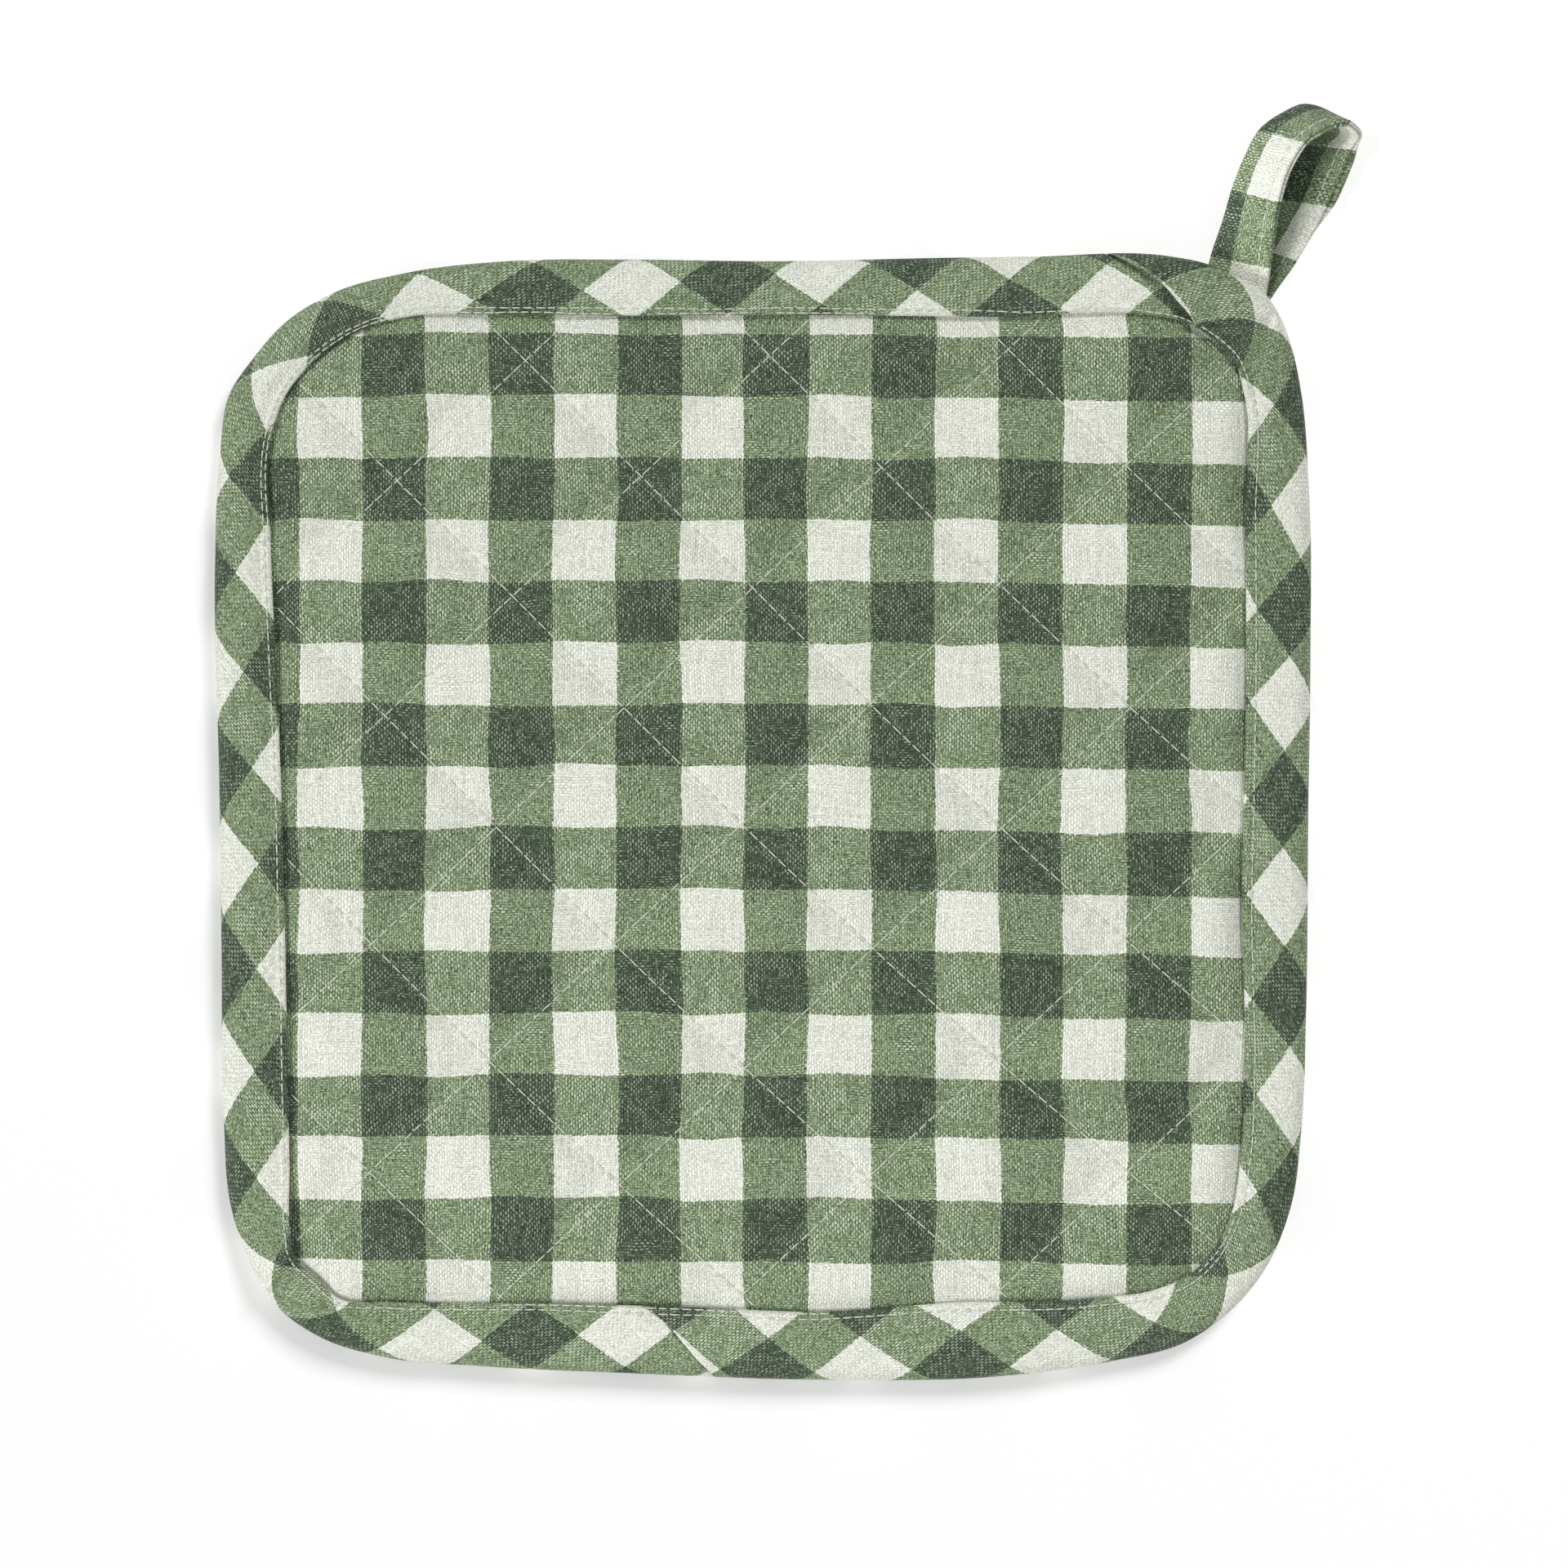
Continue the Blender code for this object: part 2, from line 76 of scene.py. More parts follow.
# The inner edge of the binding's face, clockwise from the same side.
FACE_EDGE = (
    (-25.0, 93.2), (10.0, 93.3), (45.0, 93.0), (70.5, 93.2), (78.4, 91.6),
    (83.3, 88.4), (87.0, 84.6), (88.8, 79.0),
    (89.3, 55.0), (89.4, 20.0), (88.7, -15.0), (89.2, -48.3), (88.3, -64.4),
    (86.8, -73.0), (83.6, -79.8), (79.0, -84.6), (72.5, -87.4), (61.0, -89.0),
    (35.0, -89.8), (10.0, -91.5), (-10.0, -90.8), (-40.0, -89.9), (-70.0, -89.6),
    (-78.8, -89.0), (-83.0, -85.3), (-86.8, -81.6), (-87.7, -76.5),
    (-87.9, -64.4), (-88.4, -40.0), (-88.9, -12.0), (-90.2, 25.0), (-91.4, 52.0), (-91.4, 70.0),
    (-88.6, 78.4), (-83.4, 84.6), (-75.4, 90.2), (-65.9, 93.0), (-50.0, 93.4),
)  # fmt: skip

# Lines of quilting, as distances from the pad's middle across each set of diagonals.
FALLING_LINES = (-130.3, -98.2, -67.9, -36.2, -3.8, 28.8, 61.5, 93.6, 126.0)
RISING_LINES = (-122.0, -91.2, -60.9, -31.6, -0.9, 32.5, 63.0, 95.0, 126.0)
FALLING_BEND = 0.0004  # how the falling lines curve away towards the lower right, per mm
FALLING_BEND_FROM = -20.0
RISING_TURN = 0.034  # how far the rising lines turn from 45 degrees
RISING_TURN_ABOUT = 30.0
RISING_SUNK = 0.03  # the rising lines were sewn first, and their thread is pulled deeper
LINE_SPACING = 31.6  # between two lines, on average
FALLING_CHANNEL, RISING_CHANNEL, BACK_CHANNEL = 2.1, 2.6, 1.8  # how wide the lines' channels open

# The pad's surfaces, in height above the table.
EDGE_LOW = 1.5
EDGE_HIGH = 4.3
CHANNEL_HIGH = 5.3
CHANNEL_LOW = 1.0
LEDGE = 2.0  # width of the level ledge beside each rising line
EDGE_EASE = 3.0  # over about this distance from the binding the pad puffs up
PAD_INSET = 2.1  # the pad's edge lies this far inside the outline
ROUND_HIGH, ROUND_LOW = 3.1, 2.6  # the top and the back where the pad ends
ROUND_SHARE = 0.12  # they part over this share of the way in to the binding's inner edge

# The corner is raised over the loop's ends: level around their middle, then easing down to the table.
LOOP_SEAT = (86.6, 95.6)
SEAT_RISE = 3.85
SEAT_LEVEL = 9.5
SEAT_EASE = 30.0

# The pleat across the binding, clockwise of whose line the strip is doubled: the line's two ends, the first
# on the outline, how far the doubled cloth stands up, over how far it rises and over how far it eases down.
PLEAT = ((-92.4, -89.5), (-86.4, -80.5), 0.9, 0.9, 13.0)
# A crease in the lapped strip where it turns the corner: X at three values of Y, from its inner end out.
CREASE = ((82.0, 90.2), (87.7, 93.2), (93.0, 94.2))
CREASE_DEPTH = 1.7
CREASE_SLOPES = (2.6, 0.7)  # it falls off gently from the inner side and rises steeply on the outer one

# The binding's section, from the inner edge of its back, round the outside and back to the inner edge of
# its face: share of the face's width, mm inwards, height.
BINDING_BACK = ((1.00, 0.0, 0.55), (1.00, 0.4, 0.1), (1.00, -0.8, 0.0), (0.60, 0.0, 0.0), (0.00, 2.8, 0.0))
BINDING_SIDE = ((0.00, 1.3, 0.3), (0.00, 0.4, 1.4), (0.00, 0.0, 2.9), (0.00, 0.4, 4.4), (0.00, 1.5, 5.5))
BINDING_FACE = (
    (0.00, 3.2, 6.1),
    (0.60, 0.0, 6.35),
    (1.00, -2.6, 6.0),
    (1.00, -1.8, 5.75),
    (1.00, -1.0, 5.85),
    (1.00, -0.3, 5.65),
    (1.00, 0.0, 5.15),
    (1.00, -0.3, 4.75),
)
BINDING_INSIDE = (
    (0.60, 0.0, 4.7),
    (0.00, 2.6, 4.7),
    (0.00, 1.1, 3.9),
    (0.00, 1.1, 1.9),
    (0.00, 2.6, 1.1),
    (0.60, 0.0, 1.1),
)
BACK_POINTS, SIDE_POINTS, FACE_POINTS, INSIDE_POINTS = 13, 12, 29, 15
FACE_TURN = BACK_POINTS + SIDE_POINTS + FACE_POINTS  # where the section turns back under its face
SAME_WALL = 9  # points of the section fewer than this many apart lie on the same wall
MID_HEIGHT = 3.0
OUTERMOST_HIGH = 2.9
NOMINAL_FACE = 11.5  # width of the face that the section is drawn for
NARROW_FACE = 9.0  # where the face is narrower, the rounding of the edge shrinks with it

# Where four checks of the bias strip meet, clockwise: distance along the outline and in from it. The
# checks above and below each of these points are dark and cream in turn, those beside it mid green. The
# first strip starts at the lap and ends at the join, the second goes on and ends under the lap.
FIRST_STRIP = (
    (99.8, 4.8), (122.1, 4.5), (141.0, 5.2), (160.5, 7.0), (179.5, 9.7), (196.8, 11.1), (215.0, 11.2),
    (232.5, 11.2), (251.5, 10.1), (269.8, 8.7), (289.0, 6.6), (308.7, 4.8), (328.4, 5.3), (348.0, 7.5),
    (365.8, 8.8), (384.3, 8.0), (402.1, 7.4), (419.5, 8.2),
)  # fmt: skip
SECOND_STRIP = (
    (428.3, 14.2), (446.0, 12.4), (463.9, 10.0), (484.6, 5.7), (503.6, 4.1), (521.8, 5.4), (541.6, 5.9),
    (560.6, 6.4), (580.0, 6.9), (597.7, 6.0), (615.5, 5.0), (634.0, 3.7), (652.0, 1.9), (673.0, 1.2),
    (693.2, 0.3), (711.4, 0.2), (733.0, 0.0), (751.5, -1.9), (769.0, -3.6), (786.4, -5.4),
    (804.2, -7.6), (821.2, -9.3), (839.4, -11.5), (858.0, -14.2),
)  # fmt: skip
FIRST_IS_DARK = 1  # the first strip's first point has a dark check above it
SECOND_IS_DARK = 0
CHECK_DIAGONAL = 16.65  # of one check on the bias, before the strip was stretched
SIDE_CLOTH = 1.8  # the rounded side takes this much more cloth than the plan shows

# The join's seam and the lap's folded end: distance in from the outline, distance along it.
JOIN_LINE = ((0.0, 411.6), (11.6, 424.6))
LAP_LINE = ((0.0, 88.8), (5.0, 99.0), (8.4, 104.0), (11.7, 112.3))
HIDDEN_END = 9.0  # the second strip's end lies this far past the lap's fold
TUCK = 0.3  # and under the lap it lies this much further in
LAP_LIFT = 1.15  # the lapped end rides over the hidden one
LAP_EASE = 30.0  # and comes down to its own height over this distance
STRIP_STEP = 0.62  # between sections
END_STEPS = (0.0, 0.03, 0.12, 0.27, 0.48)  # the first and last ones crowd, where the folded edge is rounded
END_ROUNDING = 0.5  # the walls draw together over this distance
SLANT_EASE = 32.0  # the sections turn square to the outline over this distance

# The hanging loop, from the end under the corner up one side, over the top and back: the folded edge of
# the strip, then its stitched edge, as X, Y and height.
LOOP_EDGES = (
    ((80.3, 93.5, 2.7), (91.9, 90.6, 2.7)),
    ((81.9, 100.0, 2.7), (93.4, 96.9, 2.75)),
    ((83.3, 105.4, 3.1), (94.1, 102.9, 6.2)),
    ((85.3, 111.1, 4.4), (94.6, 109.0, 11.2)),
    ((87.2, 117.4, 5.9), (95.4, 114.4, 13.9)),
    ((89.2, 122.4, 6.7), (96.9, 119.4, 15.3)),
    ((92.1, 127.6, 7.1), (100.0, 124.5, 15.7)),
    ((96.0, 130.4, 7.0), (102.4, 126.2, 15.8)),
    ((100.0, 132.0, 6.0), (104.4, 127.4, 15.6)),
    ((104.5, 130.2, 3.9), (107.9, 128.0, 14.4)),
    ((103.0, 128.2, 2.0), (110.1, 126.7, 11.0)),
    ((97.6, 124.8, 2.2), (108.8, 123.3, 6.4)),
    ((93.0, 115.6, 1.6), (104.7, 113.6, 4.0)),
    ((87.9, 107.4, 1.0), (99.2, 103.6, 1.9)),
    ((83.4, 101.3, 0.8), (94.6, 96.9, 0.85)),
    ((79.9, 93.1, 0.8), (91.4, 89.6, 0.8)),
)
LOOP_CLOTH = 1.6
# Where the loop's cross stripes change, counted in rows of the table above, green first.
LOOP_CHANGES = (1.87, 3.86, 5.9, 9.0, 10.9, 12.0, 13.0)
LOOP_GREEN_SHARES = (0.36, 0.60)  # of its outer and inner face, along the fold, is a lengthways green stripe
# The loop's section round from its folded edge: share of the width, side of the cloth.
LOOP_SECTION = (
    (0.000, 0.00), (0.012, 0.55), (0.05, 0.92), (0.15, 1.00), (0.35, 1.03), (0.55, 1.02), (0.72, 1.00),
    (0.81, 0.86), (0.88, 0.95), (0.95, 1.00), (0.985, 0.85), (1.00, 0.50), (0.985, 0.15), (0.93, 0.00),
    (0.985, -0.15), (1.00, -0.50), (0.985, -0.85), (0.95, -1.00), (0.88, -0.95), (0.81, -0.86),
    (0.72, -1.00), (0.55, -1.02), (0.35, -1.03), (0.15, -1.00), (0.05, -0.92), (0.012, -0.55),
)  # fmt: skip
LOOP_SEWN = (0.81, 0.86)  # its row of stitching lies here on that section
LOOP_STATIONS = 210
# Past the crest the outer lip stands proud of the inner one: middle and half length in rows, and how far.
PROUD_LIP = (11.5, 0.75, 1.2)

# The pad's checks: one green edge, and how far from it the next one comes.
CHECK_LEFT, CHECK_TOP = -74.4, 89.85
CHECK_ACROSS, CHECK_DOWN = 23.61, 22.90
SAG = 1.2  # how far the rows sink towards the right side

# The binding's row of stitches: place along the outline, distance from the inner edge.
STITCHED_ROW = (
    (0.0, 1.3), (60.0, 1.2), (78.0, 0.7), (106.0, 0.6), (114.0, 0.7), (135.0, 1.3), (150.0, 1.9),
    (290.0, 1.8), (330.0, 1.5), (450.0, 1.3), (500.0, 1.0), (600.0, 1.2), (700.0, 1.1), (750.6, 1.3),
)  # fmt: skip
PUCKER = 2.2  # the face dips once in this distance along its stitches
# Stretches along the outline that are stitched twice: start, end, distance from the inner edge.
SECOND_ROWS = (
    (296.0, 315.0, 0.8), (390.0, 452.0, 0.45), (640.0, 706.0, 0.35), (715.0, 750.0, 0.4), (0.5, 58.0, 0.35)
)  # fmt: skip

# The camera looks straight down at this point, and its picture is so wide there.
PICTURE_MIDDLE = (3.79, 6.36, 5.0)
PICTURE_WIDTH = 290.9
LENS, SENSOR = 180.0, 36.0

# Each light, aimed at the origin: its place in metres, its width in metres and its power in watts.
LIGHTS = {
    "high_light": ((2.413, 3.741, 4.022), 2.0, 185.49),
    "loop_light": ((-1.2, 0.667, 2.667), 0.6, 40.0),
    "shade_light": ((-1.215, 0.486, 2.700), 0.5, 8.4),
    "side_light": ((-2.329, -0.776, 1.725), 1.0, 55.62),
    "front_light": ((0.0, -0.36, 0.3), 0.3, 0.44),
}


def length_setting(name, description, default):
    """A length in metres, for a group of settings."""
    return bpy.props.FloatProperty(name=name, description=description, default=default, unit="LENGTH")


def colour_setting(name, description, default):
    """A colour, for a group of settings."""
    return bpy.props.FloatVectorProperty(
        name=name, description=description, default=default, subtype="COLOR", size=4
    )


class ClothSettings(bpy.types.PropertyGroup):
    """The gingham: its checks, threads and colours."""

    threads: bpy.props.IntProperty(
        name="Threads", description="Threads across one stripe of the check", default=24, min=8, max=60
    )
    strip_squeeze: bpy.props.FloatProperty(
        name="Strip squeeze", description="How much narrower stretching made the bias strip", default=0.80
    )
    cream: colour_setting("Cream", "Where cream crosses cream", (0.715, 0.735, 0.65, 1))
    mid_green: colour_setting("Mid green", "Where green crosses cream", (0.184, 0.252, 0.131, 1))
    dark_green: colour_setting("Dark green", "Where green crosses green", (0.062, 0.090, 0.054, 1))


class QuiltSettings(bpy.types.PropertyGroup):
    """The padding between the lines of quilting."""

    rise: length_setting("Pillow rise", "From a line of quilting to a pillow's top", 0.0025)
    grid: length_setting("Grid", "Distance between points of the quilted top", 0.00088)


class SewingSettings(bpy.types.PropertyGroup):
    """Threads and stitches."""

    thread: length_setting("Thread", "Thickness of the sewing thread", 0.00025)
    quilt_stitch: length_setting("Quilting stitch", "Length of a quilting stitch", 0.0025)
    edge_stitch: length_setting("Edge stitch", "Length of a stitch on the binding and the loop", 0.0022)
    colour: colour_setting("Thread colour", "Pale thread", (0.74, 0.76, 0.66, 1))


def smoothstep(share):
    """0 to 1 with a level start and end."""
    share = np.clip(share, 0.0, 1.0)
    return share * share * (3.0 - 2.0 * share)


def bell(distance, width):
    """1 in the middle and next to nothing two widths away: e to the minus square of distance by width."""
    return np.exp(-((distance / width) ** 2))


def run_along(path):
    """How far along a path each of its points lies."""
    return np.append(0.0, np.cumsum(np.linalg.norm(np.diff(path[:, :3], axis=0), axis=1)))


def resampled(path, run, wanted):
    """Every column of a path at other distances along it."""
    return np.stack([np.interp(wanted, run, column) for column in path.T], axis=1)


def spline(rows, count, closed):
    """count points, evenly spaced, of a smooth curve through the rows, and its length: cubic pieces whose
    direction at each row is the weighted mean of the chords on its two sides. Rows may hold more columns
    after X, Y and Z, which are carried along."""
    knots = np.array(rows, float)
    if closed:
        knots = np.vstack([knots, knots[:1]])
    chords = np.diff(knots, axis=0)
    lengths = np.linalg.norm(chords[:, :3], axis=1)[:, None]
    slopes = chords / lengths
    first, last = (-1, 0) if closed else (0, -1)
    before, after = np.vstack([slopes[first], slopes]), np.vstack([slopes, slopes[last]])
    near, far = np.vstack([lengths[first], lengths]), np.vstack([lengths, lengths[last]])
    tangents = (before * far + after * near) / (near + far)
    share = np.linspace(0.0, 1.0, 40, endpoint=False)[None, :, None]
    start, end = knots[:-1, None], knots[1:, None]
    leave, arrive = (tangents[:-1] * lengths)[:, None], (tangents[1:] * lengths)[:, None]
    square, cube = share**2, share**3
    dense = (
        (2 * cube - 3 * square + 1) * start
        + (cube - 2 * square + share) * leave
        + (3 * square - 2 * cube) * end
        + (cube - square) * arrive
    )
    dense = np.vstack([dense.reshape(-1, knots.shape[1]), knots[-1:]])
    run = run_along(dense)
    return resampled(dense, run, np.linspace(0.0, run[-1], count, endpoint=not closed)), run[-1]


def ramp(at, places, values):
    """Straight lines through the values at the places, going on past both ends with the last slope."""
    places, values = np.asarray(places, float), np.asarray(values, float)
    slopes = np.diff(values) / np.diff(places)
    before, after = np.minimum(at - places[0], 0.0), np.maximum(at - places[-1], 0.0)
    return np.interp(at, places, values) + before * slopes[0] + after * slopes[-1]


def lattice_noise(plan, cell, seed):
    """Smooth noise between -1 and 1: random values on a square lattice, eased from one corner to the next."""
    values = np.random.default_rng(seed).uniform(-1.0, 1.0, (64, 64))
    place = np.asarray(plan) / cell + 1000.0
    corner = np.floor(place).astype(int)
    x, y = np.moveaxis(smoothstep(place - corner), -1, 0)
    left, low = np.moveaxis(corner % 64, -1, 0)
    right, high = (left + 1) % 64, (low + 1) % 64
    lower = values[left, low] * (1 - x) + values[right, low] * x
    upper = values[left, high] * (1 - x) + values[right, high] * x
    return lower * (1 - y) + upper * y


# Both edges of the binding's face as fine rings of points, and from the drawing's place to the solids'.
FINE = 4000
OUTER, AROUND = spline(OUTLINE, FINE, True)
INNER, _ = spline(FACE_EDGE, FINE, True)
_low, _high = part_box("edge_binding")
SHIFT = np.array([_low[0] / MM - OUTER[:, 0].min(), _low[1] / MM - OUTER[:, 1].min(), 0.0])


def inward(ring):
    """Unit vectors pointing into a clockwise ring, square to it."""
    along = np.roll(ring, -8, axis=0) - np.roll(ring, 8, axis=0)
    along /= np.linalg.norm(along, axis=1)[:, None]
    return np.stack([along[:, 1], -along[:, 0]], axis=1)


def matched_inner():
    """For each point of the outline, the point of the face's inner edge nearest to it, evened out along
    the edge so that sections don't bunch at the corners."""
    nearest = np.array([np.linalg.norm(INNER[::4] - point, axis=1).argmin() * 4 for point in OUTER[::10]])
    turned = np.unwrap(nearest * 2 * np.pi / FINE)
    turned = np.append(turned, turned[0] + 2 * np.pi)
    turned = np.interp(np.arange(FINE), np.arange(len(turned)) * 10, turned)
    reach = 60
    wrapped = np.concatenate([turned[-reach:] - 2 * np.pi, turned, turned[:reach] + 2 * np.pi])
    weights = np.hanning(2 * reach + 1)
    matched = np.convolve(wrapped, weights / weights.sum(), mode="valid") / (2 * np.pi)
    return INNER[(matched * FINE).astype(int) % FINE]


# The face's width and the way into it, at each point of the outline.
MATCHED = matched_inner()
WIDTH = np.linalg.norm(MATCHED - OUTER, axis=1)
INTO = (MATCHED - OUTER) / WIDTH[:, None]


def at_distance(table, along):
    """Rows of a table round the outline, at distances along it."""
    place = np.asarray(along, float) / AROUND * FINE
    low = np.floor(place).astype(int)
    share = place - low
    if table.ndim > 1:
        share = share[..., None]
    return table[low % FINE] * (1 - share) + table[(low + 1) % FINE] * share


def binding_plan(along, inset):
    """Plan points of the binding, at distances along the outline and in from it."""
    return at_distance(OUTER, along) + at_distance(INTO, along) * inset[..., None]


def seat_lift(plan):
    """How far the loop's ends raise the pad and the binding at a place on the plan."""
    away = np.linalg.norm(plan - np.array(LOOP_SEAT), axis=-1)
    return SEAT_RISE * smoothstep(1.0 - (away - SEAT_LEVEL) / SEAT_EASE)


def past_line(plan, ends):
    """How far plan points lie clockwise of the line through two ends, the first one on the outline."""
    start, end = np.array(ends, float)
    along = (end - start) / np.linalg.norm(end - start)
    return (plan[..., 0] - start[0]) * -along[1] + (plan[..., 1] - start[1]) * along[0]


def crease(plan):
    """How deep the lap's crease is: a bell-shaped trough, wide on its inner side and narrow on the outer
    one, that fades out at both ends."""
    levels, middles = np.transpose(CREASE)
    beside = plan[..., 0] - np.interp(plan[..., 1], levels, middles)
    inner_end = smoothstep((plan[..., 1] - levels[0] + 1.0) / 1.5)
    outer_end = smoothstep((levels[-1] + 2.0 - plan[..., 1]) / 4.0)
    return CREASE_DEPTH * inner_end * outer_end * bell(beside, np.where(beside < 0.0, *CREASE_SLOPES))


def pleat_and_crease(plan):
    """How much higher the strip's face lies beside the pleat, less the lap's crease."""
    start, end, height, rise, ease = PLEAT
    past = past_line(plan, (start, end))
    near = np.linalg.norm(plan - np.array(start), axis=-1) < 2 * ease
    return near * height * smoothstep(past / rise) * smoothstep(1.0 - past / ease) - crease(plan)


def lines_to_steps(plan):
    """The place of plan points between the lines of quilting, counted in lines across both diagonals."""
    across_falling = (plan[..., 0] + plan[..., 1]) / np.sqrt(2)
    across_rising = (plan[..., 0] - plan[..., 1]) / np.sqrt(2)
    falling = across_falling - FALLING_BEND * np.maximum(across_rising - FALLING_BEND_FROM, 0.0) ** 2
    rising = across_rising - RISING_TURN * (across_falling - RISING_TURN_ABOUT)
    return (
        np.interp(falling, FALLING_LINES, np.arange(len(FALLING_LINES))),
        np.interp(rising, RISING_LINES, np.arange(len(RISING_LINES))),
    )


def steps_to_lines(falling_step, rising_step):
    """The plan points of places between the lines: lines_to_steps undone by a few rounds of correction."""
    falling = np.interp(falling_step, np.arange(len(FALLING_LINES)), FALLING_LINES)
    rising = np.interp(rising_step, np.arange(len(RISING_LINES)), RISING_LINES)
    across_falling, across_rising = falling, rising
    for _ in range(8):
        across_falling = falling + FALLING_BEND * np.maximum(across_rising - FALLING_BEND_FROM, 0.0) ** 2
        across_rising = rising + RISING_TURN * (across_falling - RISING_TURN_ABOUT)
    x, y = across_falling + across_rising, across_falling - across_rising
    return np.stack([x, y], axis=-1) / np.sqrt(2)


def depth_inside(plan):
    """How far plan points lie inside the binding's inner edge, and below zero under the binding."""
    ring = INNER[::5]
    towards = inward(INNER)[::5]
    flat = plan.reshape(-1, 2)
    depths = []
    for part in np.array_split(flat, max(1, len(flat) // 4000)):
        offset = part[:, None] - ring[None]
        closest = (offset**2).sum(axis=2).argmin(axis=1)
        rows = np.arange(len(part))
        depths.append((offset[rows, closest] * towards[closest]).sum(axis=1))
    return np.concatenate(depths).reshape(plan.shape[:-1])


def puff(plan):
    """0 on a line of quilting and 1 on a full pillow: each set of lines cuts a channel, round at its
    bottom, with a level ledge on the upper left of the rising lines. The pillow between is a low dome."""
    falling, rising = lines_to_steps(plan)
    to_falling = ((falling - np.round(falling)) * LINE_SPACING) ** 2
    to_rising = (rising - np.round(rising)) * LINE_SPACING
    to_rising = (np.maximum(to_rising, 0.0) + np.minimum(to_rising + LEDGE, 0.0)) ** 2
    channel = to_falling / (to_falling + FALLING_CHANNEL**2) * to_rising / (to_rising + RISING_CHANNEL**2)
    dome = np.abs(np.sin(np.pi * falling) * np.sin(np.pi * rising)) ** 0.7
    return channel * (0.55 + 0.55 * dome)


def pad_top(plan, depth, rise):
    """Height of the quilted top: channels and pillows, uneven as hand-filled ones are, drawn down under
    the binding, over the raised corner. Under the binding it gives way to the lap's crease."""
    uneven = 0.22 * lattice_noise(plan, 17.0, 3) + 0.10 * lattice_noise(plan, 6.0, 4)
    full = puff(plan)
    quilt = CHANNEL_HIGH + rise * full + uneven * (0.3 + full)
    eased = 1.0 - np.exp(-np.maximum(depth - 0.2, 0.0) / EDGE_EASE)
    return EDGE_HIGH + (quilt - EDGE_HIGH) * eased + seat_lift(plan) - crease(plan) * smoothstep(0.5 - depth)


def pad_bottom(plan, depth):
    """Height of the quilted back: flat on the table between shallow channels."""
    near = np.min([np.abs(steps - np.round(steps)) for steps in lines_to_steps(plan)], axis=0)
    channel = CHANNEL_LOW * bell(near * LINE_SPACING, BACK_CHANNEL)
    eased = smoothstep((depth - 0.3) / 2.4)
    return EDGE_LOW + (channel - EDGE_LOW) * eased + seat_lift(plan)


def edge_round(depth):
    """1 at the pad's outermost points and 0 from a small share of the way in to the binding's edge."""
    return 1.0 - smoothstep((1.0 - depth / depth.min()) / ROUND_SHARE)


def add_mesh(name, points, triangles, uv=None):
    """A smooth, closed object of points in drawing millimetres and triangles, which are turned to face
    outwards, with one pair of cloth coordinates a point."""
    mesh = bpy.data.meshes.new(name)
    world = (np.asarray(points, float) + SHIFT) * MM
    corners = np.asarray(triangles, np.int32).ravel()
    mesh.vertices.add(len(world))
    mesh.vertices.foreach_set("co", world.astype(np.float32).ravel())
    mesh.loops.add(len(corners))
    mesh.loops.foreach_set("vertex_index", corners)
    mesh.polygons.add(len(triangles))
    mesh.polygons.foreach_set("loop_start", np.arange(0, len(corners), 3, dtype=np.int32))
    mesh.polygons.foreach_set("loop_total", np.full(len(triangles), 3, dtype=np.int32))
    mesh.update(calc_edges=True)
    mesh.validate()
    if uv is not None:
        layer = mesh.uv_layers.new(name=CLOTH_UV)
        layer.data.foreach_set("uv", uv[corners].astype(np.float32).ravel())
    mesh.shade_smooth()
    shape = bmesh.new()
    shape.from_mesh(mesh)
    bmesh.ops.recalc_face_normals(shape, faces=shape.faces)
    shape.to_mesh(mesh)
    shape.free()
    made = bpy.data.objects.new(name, mesh)
    bpy.context.scene.collection.objects.link(made)
    return made


def grid_faces(rows, columns, closed=False):
    """Quads of a grid of points stored row by row, whose rows may be closed rings."""
    row, column = np.mgrid[0 : rows - 1, 0 : columns if closed else columns - 1].reshape(2, -1)
    over = (column + 1) % columns
    corners = ((row, column), (row, over), (row + 1, over), (row + 1, column))
    return np.stack([of_row * columns + of_column for of_row, of_column in corners], axis=1)


def halved(quads):
    """Two triangles for each quad."""
    return np.concatenate([quads[:, [0, 1, 2]], quads[:, [0, 2, 3]]])


def border(count):
    """The numbers of a square grid's edge points, once round."""
    last = count - 1
    run = np.arange(last)
    return np.concatenate([run, run * count + last, last * count + last - run, (last - run) * count])


def box_to_pad(count):
    """Plan points of a square grid of the pad's box, drawn in towards its rounded outline: each point
    slides along its ray from the middle by the ratio of outline to box there, times the sixth power of
    how far out it lies, so that the middle stays square."""
    ring = OUTER + inward(OUTER) * PAD_INSET
    middle = (ring.max(axis=0) + ring.min(axis=0)) / 2
    half = (ring.max(axis=0) - ring.min(axis=0)) / 2
    x, y = np.meshgrid(np.linspace(-1, 1, count), np.linspace(1, -1, count))
    box = np.stack([x, y], axis=-1) * half
    angle = np.arctan2(box[..., 1], box[..., 0])
    ring = ring - middle
    ring_angle = np.arctan2(ring[:, 1], ring[:, 0])
    order = np.argsort(ring_angle)
    ring_reach = np.linalg.norm(ring, axis=1)
    reach = np.interp(angle, ring_angle[order], ring_reach[order], period=2 * np.pi)
    far = np.maximum(np.abs(x), np.abs(y))
    edge = np.linalg.norm(box, axis=-1) / np.maximum(far, 1e-9)
    scale = 1.0 + (reach / np.maximum(edge, 1e-9) - 1.0) * far**6
    return box * scale[..., None] + middle


